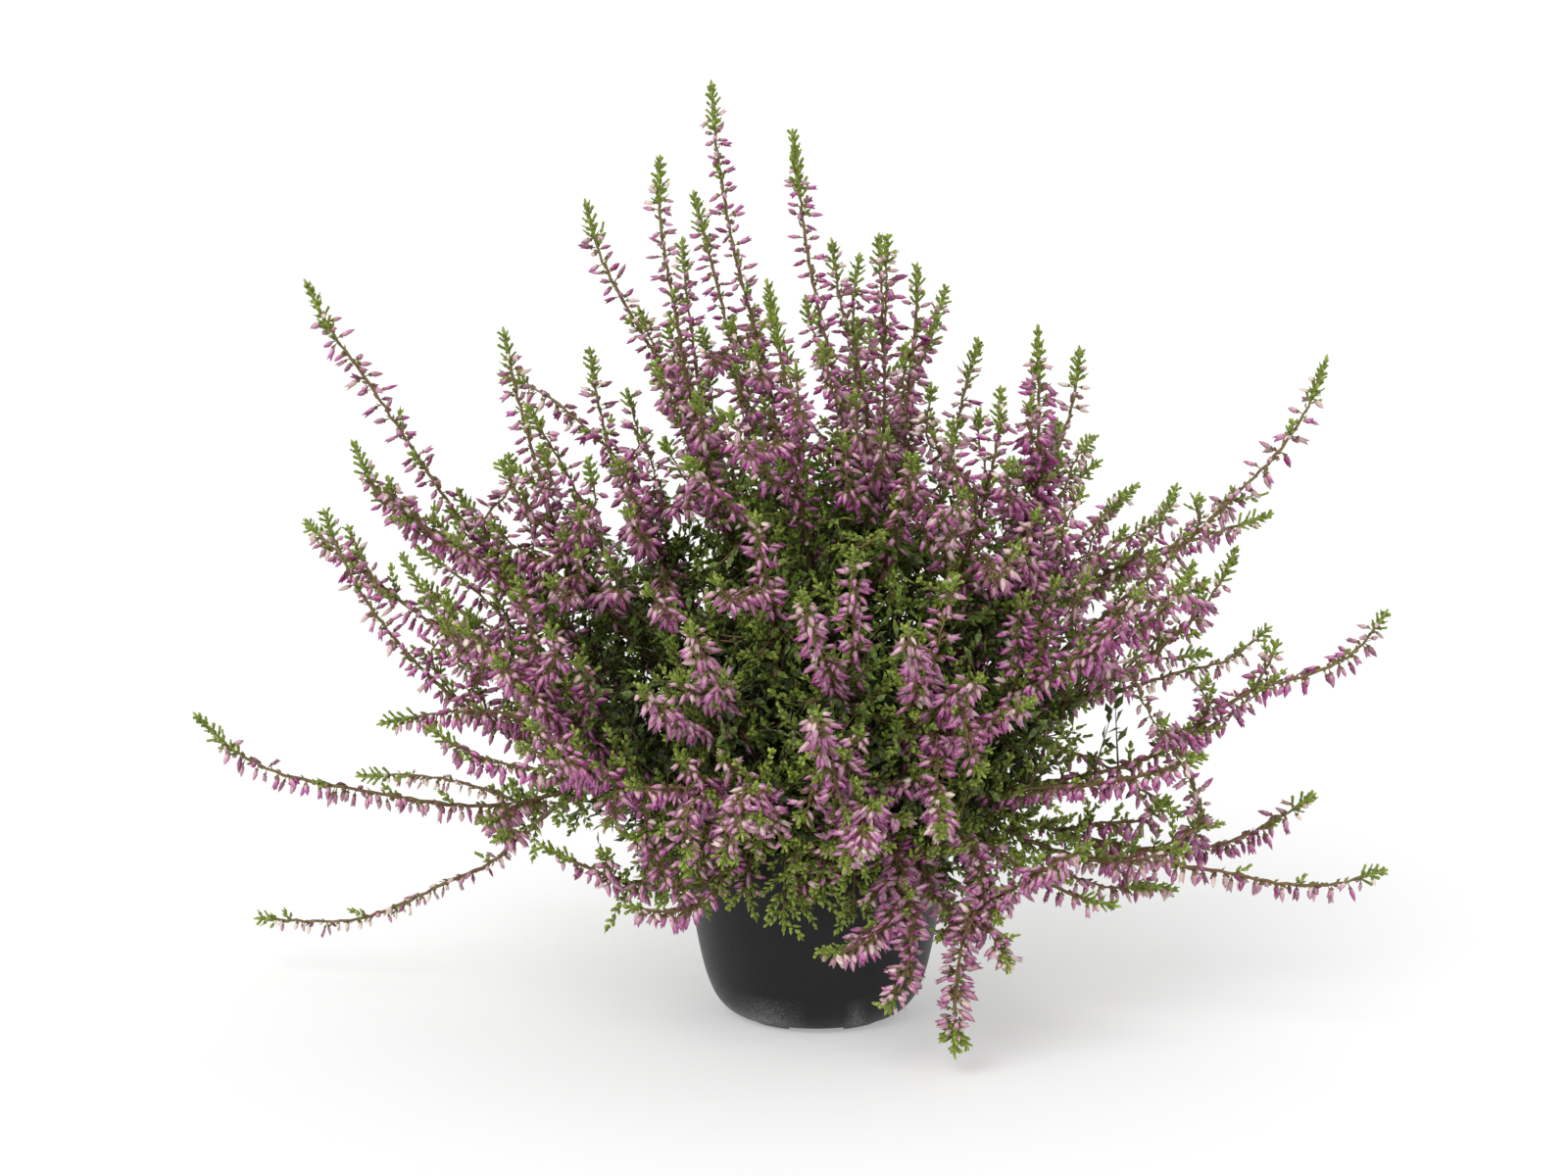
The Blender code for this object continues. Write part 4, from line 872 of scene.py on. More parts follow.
    def twigs(self, line, start, end, gap, length, age, lean=(0.75, 1.15), fine=1.0):
        """Leafy side twigs, with their leaf shoots in pairs like a feather."""
        s = np.arange(start, end, gap)
        if not len(s):
            return
        s = s + rng.uniform(-0.4, 0.4, len(s)) * gap
        s = s[outerness(line.at(s)[0]) * fine > 0.44]
        m = len(s)
        if not m:
            return
        p, t, side, other = line.at(s)
        turn = rng.uniform(0, 6.28) + np.arange(m) * 2.4 + rng.normal(0, 0.3, m)
        radial = side * np.cos(turn)[:, None] + other * np.sin(turn)[:, None]
        tilt = rng.uniform(*lean, m)
        way = unit(t * np.cos(tilt)[:, None] + radial * np.sin(tilt)[:, None] + np.array([0, 0, 0.18]))
        long = length * rng.uniform(0.6, 1.2, m)
        self.grow_twigs(p, way, long, age, fine)

    def grow_twigs(self, p, way, long, age, fine, lift=1.0):
        m = len(p)
        up = np.array([0.0, 0.0, 1.0])
        bend = (up - way * way[:, 2:3]) * (rng.uniform(0.05, 0.30, m) * lift)[:, None]
        def spot(f):
            return p[:, None] + (way[:, None] * f[..., None] + bend[:, None] * (f**2)[..., None]) * long[:, None, None]
        f = np.broadcast_to(np.array([0.0, 0.5, 1.0]), (m, 3))
        line3 = spot(f)
        fits = clear(line3[:, 1], line3[:, 2], -1.5) & clear(line3[:, 0] * 0.6 + line3[:, 1] * 0.4, line3[:, 2], -1.0)
        p, way, long, bend = p[fits], way[fits], long[fits], bend[fits]
        m = len(p)
        if not m:
            return
        f = np.broadcast_to(np.array([0.0, 0.5, 1.0]), (m, 3))
        reach = way * 1.0 + bend * 0.7
        self.stem.add(THORN, p, axes_for(reach, rng.uniform(0, 6.28, m)), np.stack([np.full(m, 0.46), np.full(m, 0.46), long * 0.98], axis=1), rng.uniform(0, 1, m), 0.75, np.full(m, 0.3))
        step = 2.25
        most = int(long.max() / step) + 1
        f = (np.arange(1, most + 1)[None] * step - 0.9) / long[:, None]
        f = np.repeat(f, 2, axis=1)
        on = f < 1.0
        at = spot(f)
        tangent = unit(way[:, None] + 2 * bend[:, None] * f[..., None])
        first = np.cross(tangent, up)
        first = unit(first + 1e-6)
        second = np.cross(tangent, first)
        k = np.arange(f.shape[1])
        turn = (k // 2) * (math.pi / 2) + (k % 2) * math.pi
        turn = turn[None] + rng.uniform(0, 6.28, m)[:, None] + rng.normal(0, 0.2, f.shape)
        radial = first * np.cos(turn)[..., None] + second * np.sin(turn)[..., None]
        d = unit(tangent * 0.78 + radial * 0.62 + up * 0.08)
        length = (4.1 - 1.5 * f) * rng.uniform(0.75, 1.2, f.shape)
        o = outerness(at)
        inside = o * fine < 0.56
        # deep inside, fewer and plainer
        on &= ~inside | (rng.uniform(0, 1, f.shape) < 0.54)
        at, d, length, f, o, inside = at[on], d[on], length[on], f[on], o[on], inside[on]
        # darker the deeper inside the plant and towards each twig's foot: older leaves, and painted shade
        level = age * np.clip(0.30 + 1.00 * (o - 0.42) / 0.42, 0, 1) * (0.64 + 0.36 * f) + 0.12 * f
        level = np.clip(level + rng.normal(0, 0.09, len(f)), 0, 1)
        pick = rng.uniform(0, 1, len(f))
        detail = np.where(inside | (pick < 0.44), 0, np.where(pick < 0.96, 1, 2))
        fat = np.where(inside, 1.0, 0.78) * rng.uniform(0.88, 1.18, len(f))
        self.leaflets(at, d, length * np.where(inside, 1.25, 1.0), fat, level, detail)
        ends = spot(np.ones((m, 1)))[:, 0]
        d = unit(way + 2 * bend)
        o = outerness(ends)
        # end shoots darker the deeper inside the plant: older leaves, and painted shade
        self.leaflets(ends - d * 1.5, d, np.full(m, 4.0) * rng.uniform(0.8, 1.2, m), np.full(m, 0.80), np.clip(age * (o + 0.30), 0, 1), np.where(o * fine < 0.5, 0, 2))

    def thicket(self, line, end, gap):
        """Bare old side twigs with a few dark leaf shoots, deep inside the plant; the leaves are old, and darker still
        by painted shade.
        """
        s = np.arange(5.0, end, gap)
        m = len(s)
        p, t, side, other = line.at(s + rng.uniform(-0.4, 0.4, m) * gap)
        a = rng.uniform(0, 6.28, m)
        way = unit(t * rng.uniform(0.2, 1.0, m)[:, None] + side * np.cos(a)[:, None] + other * np.sin(a)[:, None] + np.array([0, 0, 0.15]))
        long = rng.uniform(16, 34, m)
        ends = p + way * long[:, None]
        keep = clear(p + way * (long * 0.5)[:, None], ends) & (outerness(ends) < np.where(ends[:, 2] > 118, 0.86, 0.72))
        self.old_twigs(p[keep], way[keep], long[keep], 10)

    def old_twigs(self, p, way, long, leaves):
        m = len(p)
        if not m:
            return
        self.stem.add(THORN, p, axes_for(way, rng.uniform(0, 6.28, m)), np.stack([np.full(m, 0.50), np.full(m, 0.50), long], axis=1), rng.uniform(0, 1, m), 0.2, np.zeros(m))
        for k in range(leaves):
            f = (k + rng.uniform(0.2, 1.0, m)) / (leaves - 1)
            at = p + way * (long * f)[:, None]
            d = unit(way * 0.7 + rng.normal(0, 0.55, (m, 3)))
            # leaf shoots darker the deeper inside the plant and lower down: old leaves, and painted shade
            self.leaflets(at, d, rng.uniform(5.0, 8.0, m), rng.uniform(1.2, 1.75, m), np.clip(outerness(at) * 0.55 - 0.08 + 0.24 * np.clip((at[:, 2] - 125) / 50, 0, 1) + rng.normal(0, 0.05, m), 0.0, 0.6), np.full(m, -1))

    def skirt(self, line, gap, long):
        """Leafy twigs that hang out over the pot's lip."""
        s = np.arange(0, line.length, gap)
        p, t, side, other = line.at(s + rng.uniform(-0.3, 0.3, len(s)) * gap)
        r = np.hypot(p[:, 0], p[:, 1])
        near = (p[:, 2] < 104) & (r > 42) & (r < 92)
        p = p[near]
        m = len(p)
        if not m:
            return
        level = np.concatenate([p[:, :2], np.zeros((m, 1))], axis=1)
        way = unit(unit(level) * rng.uniform(0.5, 0.95, m)[:, None] + np.array([0, 0, -0.5]) * rng.uniform(0.2, 1.2, m)[:, None] + rng.normal(0, 0.34, (m, 3)))
        self.grow_twigs(p, way, long * rng.uniform(0.7, 1.25, m), 0.95, 1.6, lift=-0.22)

    def build(self, materials):
        stem = self.stem.build(self.name + "_stem", materials["wood"], "heather_wood", True)
        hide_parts(self.name + "_shoot")
        self.leaf.build(self.name + "_leaves", materials["leaf"], "heather_leaf", False)
        self.flower.build(self.name + "_flowers", materials["petal"], "heather_flower", True)
        return self.stem.faces(), self.leaf.faces(), self.flower.faces()


# Side spikes seen in the front view: shoot they grow from, how far along it, distance of the tip in front of the axis
# (None = as where it leaves), and the tip.
SPIKES = [
    ("top_4", 0.66, None, (652, 315)), ("top_4", 0.60, 10, (682, 332)), ("top_5", 0.60, 30, (715, 337)), ("top_6", 0.52, 10, (875, 327)),
    ("right_11", 0.62, 10, (950, 425)), ("right_11", 0.55, 60, (973, 431)), ("right_2", 0.42, None, (1140, 510)), ("right_1", 0.66, None, (1222, 508)),
    ("right_5", 0.70, 60, (1217, 577)), ("right_1", 0.74, -10, (1245, 520)), ("left_8", 0.30, 60, (490, 838)), ("left_8", 0.34, 75, (507, 856)),
    ("left_4", 0.66, 10, (443, 530)), ("left_4", 0.62, 30, (458, 546)), ("left_1", 0.50, 10, (520, 466)), ("left_5", 0.58, 20, (455, 604)),
    ("trailing_4", 0.55, 70, (632, 848)), ("left_12", 0.62, 60, (612, 868)), ("left_12", 0.55, 60, (658, 893)), ("right_6", 0.62, 20, (1230, 833)),
    ("top_7", 0.72, 25, (905, 243)), ("top_1", 0.60, 20, (742, 330)), ("top_1", 0.50, 40, (770, 352)), ("top_2", 0.50, 50, (838, 352)),
    ("top_2", 0.56, 0, (822, 305)), ("top_8", 0.52, 30, (925, 352)), ("top_3", 0.50, 50, (668, 372)), ("top_3", 0.45, 60, (710, 402)),
    ("left_2", 0.55, 30, (552, 455)), ("left_2", 0.45, 45, (600, 470)), ("left_3", 0.50, 0, (640, 400)), ("left_3", 0.42, 30, (655, 440)),
    ("right_10", 0.50, 40, (950, 395)), ("right_8", 0.52, 60, (1030, 470)), ("right_8", 0.60, 0, (1078, 430)), ("right_12", 0.55, 60, (1105, 500)),
    ("right_12", 0.45, 70, (1060, 520)), ("right_14", 0.60, 90, (1165, 600)), ("right_5", 0.48, 60, (1120, 640)), ("right_3", 0.50, 60, (1190, 735)),
    ("left_10", 0.55, 80, (560, 640)), ("left_6", 0.48, 10, (505, 610)), ("left_1", 0.42, 40, (575, 540)), ("left_2", 0.35, 60, (620, 570)),
    ("top_9", 0.50, 95, (745, 420)), ("top_9", 0.55, 70, (812, 372)), ("top_6", 0.40, 40, (905, 440)), ("top_7", 0.42, 85, (985, 500)),
    ("left_10", 0.45, 70, (530, 700)), ("left_10", 0.62, 75, (505, 672)), ("left_10", 0.40, 60, (590, 672)), ("left_6", 0.40, 30, (520, 655)),
    ("left_6", 0.55, 20, (478, 632)), ("left_5", 0.48, 40, (488, 655)), ("left_4", 0.50, 45, (520, 610)), ("left_2", 0.42, 60, (560, 590)),
    ("left_11", 0.62, 95, (560, 768)), ("left_11", 0.75, 85, (528, 762)), ("left_2", 0.50, 50, (590, 520)), ("left_3", 0.42, 60, (640, 520)),
    ("front_4", 0.50, 85, (690, 690)), ("front_4", 0.60, 95, (738, 690)), ("front_8", 0.40, 90, (735, 770)), ("front_9", 0.55, 95, (690, 770)),
    ("front_7", 0.45, 100, (862, 770)), ("front_6", 0.45, 100, (880, 745)), ("front_5", 0.45, 85, (985, 745)), ("front_1", 0.55, 90, (850, 665)),
    ("front_9", 0.60, 85, (640, 800)), ("front_8", 0.62, 112, (775, 838)), ("front_7", 0.66, 115, (895, 820)), ("front_7", 0.40, 75, (945, 790)),
    ("front_3", 0.55, 105, (730, 590)), ("front_2", 0.50, 110, (975, 590)), ("right_11", 0.42, 95, (1040, 560)), ("left_3", 0.30, 85, (660, 600)),
    ("front_8", 0.45, 78, (772, 872)), ("front_8", 0.60, 92, (802, 866)), ("front_8", 0.70, 106, (735, 880)), ("front_9", 0.50, 75, (742, 868)),
    ("front_9", 0.65, 90, (672, 850)), ("front_9", 0.40, 66, (700, 893)), ("front_7", 0.45, 80, (843, 872)), ("front_7", 0.60, 95, (908, 868)),
    ("front_7", 0.72, 106, (862, 888)), ("front_7", 0.50, 88, (928, 838)), ("front_6", 0.50, 95, (815, 838)), ("front_6", 0.60, 104, (866, 838)),
    ("left_11", 0.45, 70, (652, 858)), ("left_11", 0.55, 80, (616, 842)), ("trailing_2", 0.40, 70, (883, 925)), ("trailing_2", 0.50, 76, (862, 972)),
    ("top_1", 0.42, 20, (748, 372)), ("top_1", 0.36, 45, (733, 420)), ("top_2", 0.42, 25, (778, 408)), ("top_2", 0.36, 0, (800, 352)),
    ("top_9", 0.44, 60, (770, 448)), ("top_8", 0.44, 50, (872, 400)), ("top_7", 0.34, 50, (862, 445)), ("top_3", 0.36, 20, (690, 420)),
    ("left_3", 0.36, 40, (628, 470)), ("left_2", 0.38, 10, (585, 505)), ("right_11", 0.36, 50, (935, 470)), ("right_10", 0.40, 70, (985, 520)),
    ("top_3", 0.36, 35, (678, 448)), ("left_3", 0.44, 50, (702, 468)), ("top_4", 0.46, 10, (722, 378)), ("right_5", 0.62, 30, (1180, 560)),
    ("right_12", 0.62, 30, (1150, 540)), ("right_3", 0.58, 30, (1232, 690)), ("right_11", 0.68, 30, (1000, 420)), ("right_8", 0.64, 40, (1052, 408)),
    ("right_7", 0.50, 40, (1165, 640)), ("right_5", 0.40, 70, (1110, 585)), ("left_1", 0.38, 50, (590, 560)), ("left_10", 0.50, 60, (545, 715)),
    ("trailing_3", 0.55, 75, (958, 957)), ("trailing_1", 0.50, 80, (1018, 942)), ("front_5", 0.60, 90, (962, 822)), ("front_5", 0.75, 100, (1003, 790)),
]


def bloom(shoot, line, style, start, tip, ends=True):
    """Flowers, bracts and green end on one line."""
    gap, many, pale, size = style
    long = line.length
    shoot.flowers(line, start, long - tip * 0.5, gap, many, pale, size, 11.0)
    tight = ends == "tight"
    if shoot.name == "trailing_1" and ends is True and long > 100:
        # a thick leafy tuft
        for turn in range(4):
            p, t, side, other = line.at([long - tip - 2.0 + turn])
            a = turn * 1.7
            d = unit(t * 0.7 + side * math.cos(a) * 0.7 + other * math.sin(a) * 0.7)
            shoot.green_tip(Line([p[0], p[0] + d[0] * 4.0, p[0] + d[0] * 7.5 + t[0] * 1.5]), 0.5, 8.0, 1.3, 0.62, 4.0, 0.66, 1.0)
    shoot.green_tip(line, long - tip, long + 0.5, 1.3 if tight else 1.5, 0.62 if tight else 0.82, 5.8 if tight else 5.0, 0.80, 1.06)
    s = np.arange(start, long - tip, gap * 0.54)
    if len(s):
        p, t, side, other = line.at(s + rng.uniform(-1, 1, len(s)))
        a = rng.uniform(0, 6.28, len(s))
        d = unit(t * 0.8 + side * np.cos(a)[:, None] * 0.6 + other * np.sin(a)[:, None] * 0.6)
        shoot.leaflets(p, d, rng.uniform(2.0, 3.6, len(s)), np.full(len(s), 0.70), rng.uniform(0.25, 0.70, len(s)), np.where(rng.uniform(0, 1, len(s)) < 0.40, 1, -1), 0.85)


def grow(tangle):
    shoots, lines, every = [], {}, []
    for number, name in enumerate(tangle.names):
        first, count = tangle.runs[number]
        shoot = Shoot(name)
        line = lines[name] = Line(tangle.points[first : first + count])
        long = line.length
        tip, blooms, *style = STYLE.get(name, (13, min(120, long * 0.5), 3.8, 2.6, 0.18, 1.0))
        blooms = min(blooms, long * 0.62)
        shoot.stalk(line, 1.15, 0.50, 0.0, 1.0, True)
        start = long - tip - blooms
        bloom(shoot, line, style, start, tip, "tight" if name in ("top_2", "top_9") else True)
        shoot.flowers(line, max(start - 30, long * 0.25), start, style[0] * 2.0, style[1] * 0.6, style[2], style[3] * 0.95, 0.0)
        shoot.twigs(line, start + 6, long - tip - 4, 26.0, 7.0, 1.0, lean=(0.45, 0.7), fine=2.0)
        upright = name.startswith("top")
        shoot.twigs(line, 0.13 * long, start + (-4 if upright else 10), 6.6 if upright else 6.4 if name.startswith("back") else 5.6, 14.0, 1.0)
        shoot.thicket(line, 0.62 * long, 2.8 if name.startswith(("back", "top")) else 3.3)
        if name.startswith("front"):
            shoot.skirt(line, 8.0, 16.0)
        elif not name.startswith("trailing"):
            shoot.skirt(line, 14.0, 16.0)
        every.append((number, line))
        shoots.append(shoot)
    for number, (first, at, part) in enumerate(tangle.joints):
        count = tangle.runs[len(tangle.names) + number][1]
        shoot = shoots[tangle.owner[first]]
        line = Line(tangle.points[first : first + count])
        long = line.length
        style = STYLE.get(shoot.name, (13, 100, 3.8, 2.6, 0.18, 1.0))[2:]
        tip = min(11.0, long * 0.22)
        shoot.stalk(line, 0.78, 0.38, float(tangle.share[first]), 1.0, False)
        start = long * 0.22
        bloom(shoot, line, style, start, tip)
        shoot.twigs(line, start + 5, long - tip - 3, 26.0, 6.5, 1.0, lean=(0.45, 0.7), fine=2.0)
        every.append((tangle.owner[first], line))
        if not shoot.name.startswith("trailing"):
            shoot.twigs(line, 2.0, start + 8, 5.8, 12.5, 0.95)
    for number, (parent, at, front, (u, v)) in enumerate(SPIKES):
        shoot = shoots[tangle.names.index(parent)]
        joint = lines[parent].at(at * lines[parent].length)
        foot, way = joint[0], joint[1]
        end = place(u, v, -foot[1] if front is None else front)
        gone = np.linalg.norm(end - foot)
        middle = foot + way * gone * 0.30 + (end - foot) * 0.22
        line = Line([foot, middle, foot * 0.22 + end * 0.78 + np.array([0, 0, -0.02 * gone]), end])
        spike(shoot, line, 9.0 if number < 30 else 5.5)
    for shoot, name in zip(shoots, tangle.names):
        line = lines[name]
        if line.length < 120 or name.startswith(("top", "trailing", "left_8", "left_9", "right_4")):
            continue
        for at in rng.uniform(0.36, 0.60, 2 if name in ("left_1", "left_2", "left_4", "left_5", "left_6", "left_10", "right_8", "right_14") else 1 if line.length > 165 else 0):
            foot, way, side, other = line.at(at * line.length)
            a = rng.uniform(0, 6.28)
            d = unit(way + (side * math.cos(a) + other * math.sin(a)) * rng.uniform(0.35, 0.6) + np.array([0, 0, 0.12]))
            gone = rng.uniform(42, 66)
            spike(shoot, Line([foot, foot + (way * 0.6 + d * 0.4) * gone * 0.35, foot + d * gone * 0.7, foot + unit(d + np.array([0, 0, 0.08])) * gone]))
    close_face(shoots, every, 440)
    drape(shoots, every)
    fill_inside(shoots, every, 900)
    return shoots


def spread(every, step, last):
    """Points along all the stems, their directions, and the shoot that each belongs to."""
    spots, ways, owner = [], [], []
    for number, line in every:
        p, t, _, _ = line.at(np.arange(6.0, line.length * last, step))
        spots.append(p)
        ways.append(t)
        owner += [number] * len(p)
    return np.concatenate(spots), np.concatenate(ways), np.array(owner)


def close_face(shoots, every, many):
    """Leafy side branches that fill the plant's face between its flowering shoots."""
    spots, ways, owner = spread(every, 4.0, 0.80)
    k = np.arange(many)
    z = 1 - 1.74 * (k + 0.5) / many
    a = k * 2.399963 + rng.uniform(-0.25, 0.25, many)
    flat = np.sqrt(1 - z * z)
    aim = np.stack([flat * np.cos(a), flat * np.sin(a), z], axis=1)
    ends = MIDDLE + REACH * aim * rng.uniform(0.54, 0.78, many)[:, None]
    r = np.hypot(ends[:, 0], ends[:, 1])
    # thinner to the sides and high up, where flowers take over
    want = 0.95 - 0.66 * np.clip((aim[:, 2] - 0.05) / 0.6, 0, 1) - 0.40 * np.clip((-aim[:, 0] - 0.25) / 0.5, 0, 1) - 0.15 * np.clip((aim[:, 0] - 0.4) / 0.5, 0, 1) - 0.15 * (aim[:, 1] > 0.2)
    keep = ~((ends[:, 2] < 90) & (r < 62)) & (ends[:, 2] > 56) & (rng.uniform(0, 1, many) < want)
    for end in ends[keep]:
        way = end - spots
        far = np.linalg.norm(way, axis=1)
        along = (way * ways).sum(1) / far
        cost = far * (1.5 - 0.7 * along) + np.where(far < 16, 60, 0)
        i = int(np.argmin(cost))
        if far[i] > 75:
            continue
        shoot, foot, gone = shoots[owner[i]], spots[i], far[i]
        line = Line([foot, foot + ways[i] * gone * 0.25 + way[i] * 0.15, foot + way[i] * 0.72 + np.array([0, 0, -0.03 * gone]), end])
        p, t, _, _ = line.at(np.linspace(0, line.length, 6))
        shoot.stem.tubes(p[None], np.linspace(0.52, 0.26, 6)[None], 4, rng.uniform(), 0.4, 0.0, along=(0.30, 0.9))
        shoot.twigs(line, 0.22 * line.length, line.length - 1.0, 4.8, 11.0, 1.0, lean=(0.7, 1.1))
        shoot.grow_twigs(p[-1:], t[-1:], np.array([10.0]), 1.0, 1.0)


def fill_inside(shoots, every, many):
    """Dark old twigs evenly through the plant's inside, so that no daylight shows through its middle; their leaf shoots
    are old and darkened further as painted shade.
    """
    spots, ways, owner = spread(every, 4.0, 0.72)
    aim = unit(rng.normal(0, 1, (many, 3)))
    ends = MIDDLE + REACH * aim * (0.68 * rng.uniform(0.02, 1, many) ** 0.4)[:, None]
    gap = np.linalg.norm(ends[:, None] - spots[None], axis=-1)
    gap[gap < 9] = 99
    pick = gap.argmin(1)
    far = gap[np.arange(many), pick]
    foot = spots[pick]
    way = (ends - foot) / far[:, None]
    keep = (far < 48) & clear(ends, foot + way * (far * 0.5)[:, None])
    for number, shoot in enumerate(shoots):
        k = keep & (owner[pick] == number)
        shoot.old_twigs(foot[k], way[k], far[k], 8)


def drape(shoots, every):
    """Leafy side shoots that hang over the pot's lip, most of them in front and some with flowers."""
    spots, ways, owner = spread(every, 3.0, 0.7)
    low = (spots[:, 2] > 72) & (spots[:, 2] < 104) & (np.hypot(spots[:, 0], spots[:, 1]) < 54)
    spots, ways, owner = spots[low], ways[low], owner[low]
    turns = [(-168 + 9.2 * k, 24.0) for k in range(18)] + [(14 + 15.5 * k, 11.0) for k in range(12)]
    for k, (turn, drop) in enumerate(turns):
        a = math.radians(turn + rng.uniform(-3, 3))
        out = np.array([math.cos(a), math.sin(a), 0.0])
        over = out * rng.uniform(51, 57) + np.array([0, 0, rng.uniform(82, 91)])
        end = out * rng.uniform(58.5, 64) + np.array([0, 0, 74 - drop * rng.uniform(0.55, 1.15)])
        way = over - spots
        far = np.linalg.norm(way, axis=1)
        i = int(np.argmin(far + np.where(far < 9, 40, 0)))
        shoot, foot = shoots[owner[i]], spots[i]
        line = Line([foot, foot * 0.4 + over * 0.6 + np.array([0, 0, 5.0]), over, (over + end) * 0.5 + out * 3.0, end])
        p, t, _, _ = line.at(np.linspace(0, line.length, 8))
        shoot.stem.tubes(p[None], np.linspace(0.55, 0.26, 8)[None], 4, rng.uniform(), 0.4, 0.0, along=(0.30, 0.9))
        s = np.arange(0.34 * line.length, line.length - 1.5, 3.4)
        p, t, _, _ = line.at(s)
        level = unit(p * np.array([1.0, 1.0, 0.0]))
        across = unit(np.cross(t, level)) * np.where(np.arange(len(s)) % 2, 1.0, -1.0)[:, None]
        d = unit(t * 0.75 + across * rng.uniform(0.4, 0.8, len(s))[:, None] + level * rng.uniform(0.05, 0.55, len(s))[:, None])
        shoot.grow_twigs(p, d, rng.uniform(7, 12, len(s)), 0.95, 1.6, lift=-0.1)
        if k % 3 != 1 and drop > 20:
            shoot.flowers(line, 0.35 * line.length, line.length - 3, 3.1, 3.0, 0.12, 1.05, 8.0)
        shoot.green_tip(line, line.length - 6, line.length + 0.5, 1.9, 0.6, 3.4, 0.62, 0.9)


def spike(shoot, line, green=6.5):
    """A short flowering side shoot."""
    long = line.length
    style = STYLE.get(shoot.name, (13, 100, 3.8, 2.6, 0.18, 1.0))[2:]
    tip = min(green, long * 0.2)
    shoot.stalk(line, 0.55, 0.32, 0.55, 1.0, False)
    start = long * 0.30
    bloom(shoot, line, style, start, tip)
    shoot.twigs(line, 3.0, start + 4, 7.0, 11.0, 0.95)


# ---------------------------------------------------------------- pot, soil and crown

def rounded(points, each):
    """A smooth profile through (radius, height) points."""
    p = np.array([(r, 0.0, z) for r, z in points], float)
    full = smooth(p, each, 4)
    return [(r, z) for r, _, z in full]


def lathe_mesh(name, profile, sides, move=None):
    bm = turned(profile, sides, move)
    bmesh.ops.recalc_face_normals(bm, faces=bm.faces)
    mesh = bpy.data.meshes.new(name)
    bm.to_mesh(mesh)
    bm.free()
    obj = bpy.data.objects.new(name, mesh)
    bpy.context.scene.collection.objects.link(obj)
    return obj


def settle_piece(obj, material, node):
    obj.data.materials.clear()
    obj.data.materials.append(material)
    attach(obj, "root")
    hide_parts(node)


def make_pot(material):
    outside = rounded(POT_SIDE, 1.8)
    inside = [(r - POT_WALL, z) for r, z in rounded(POT_SIDE[2:], 3.2)]
    lip = [(51.35, 69.6), (51.9, 69.55), (52.4, 69.75), (52.65, 70.2), (52.75, 71.2), (52.75, 72.4), (52.6, 73.3), (52.2, 73.85), (51.7, 74.0), (51.1, 74.0), (50.6, 73.8), (50.4, 73.2), (50.3, 71.5)]
    foot = [(0, 0), (PAD_RADIUS - 0.5, 0), (PAD_RADIUS, 0.25), (PAD_RADIUS + 0.8, POT_FLOOR_UNDER), (FOOT_INNER - 0.6, POT_FLOOR_UNDER), (FOOT_INNER - 0.1, 0.3), (FOOT_INNER + 0.3, 0), (FOOT_OUTER, 0), (30.0, 0.35)]
    profile = foot + outside + lip + inside[::-1] + [(35.0, 4.6), (33.0, 3.6), (31.0, 2.9), (29.5, POT_FLOOR_TOP), (0, POT_FLOOR_TOP)]
    pot = lathe_mesh("nursery_pot", profile, 96)
    cutter = bmesh.new()
    for k in range(DRAIN_HOLES):
        a = 2 * math.pi * (k + 0.5) / DRAIN_HOLES
        made = bmesh.ops.create_cone(cutter, cap_ends=True, segments=24, radius1=DRAIN_RADIUS * MM, radius2=DRAIN_RADIUS * MM, depth=8 * MM)
        bmesh.ops.translate(cutter, verts=made["verts"], vec=(DRAIN_CIRCLE * math.cos(a) * MM, DRAIN_CIRCLE * math.sin(a) * MM, 1.5 * MM))
    for k in range(FOOT_NOTCHES):
        # broad gaps between small feet, one of them to the front
        a = 2 * math.pi * (k + 0.5) / FOOT_NOTCHES
        made = bmesh.ops.create_cube(cutter, size=1.0)
        for v in made["verts"]:
            x, y, z = 29.5 + v.co.x * 15.0, v.co.y * 20.0, (v.co.z - 0.5) * 5.0 + 1.9
            v.co = Vector(((x * math.cos(a) - y * math.sin(a)) * MM, (x * math.sin(a) + y * math.cos(a)) * MM, z * MM))
    mesh = bpy.data.meshes.new("cutters")
    bmesh.ops.recalc_face_normals(cutter, faces=cutter.faces)
    cutter.to_mesh(mesh)
    cutter.free()
    tool = bpy.data.objects.new("cutters", mesh)
    bpy.context.scene.collection.objects.link(tool)
    change = pot.modifiers.new("cut", "BOOLEAN")
    change.operation, change.solver, change.object = "DIFFERENCE", "EXACT", tool
    graph = bpy.context.evaluated_depsgraph_get()
    cut = bpy.data.meshes.new_from_object(pot.evaluated_get(graph))
    pot.modifiers.clear()
    pot.data = cut
    bpy.data.objects.remove(tool)
    cut.shade_smooth()
    cut.set_sharp_from_angle(angle=math.radians(38))
    settle_piece(pot, material, "pot")


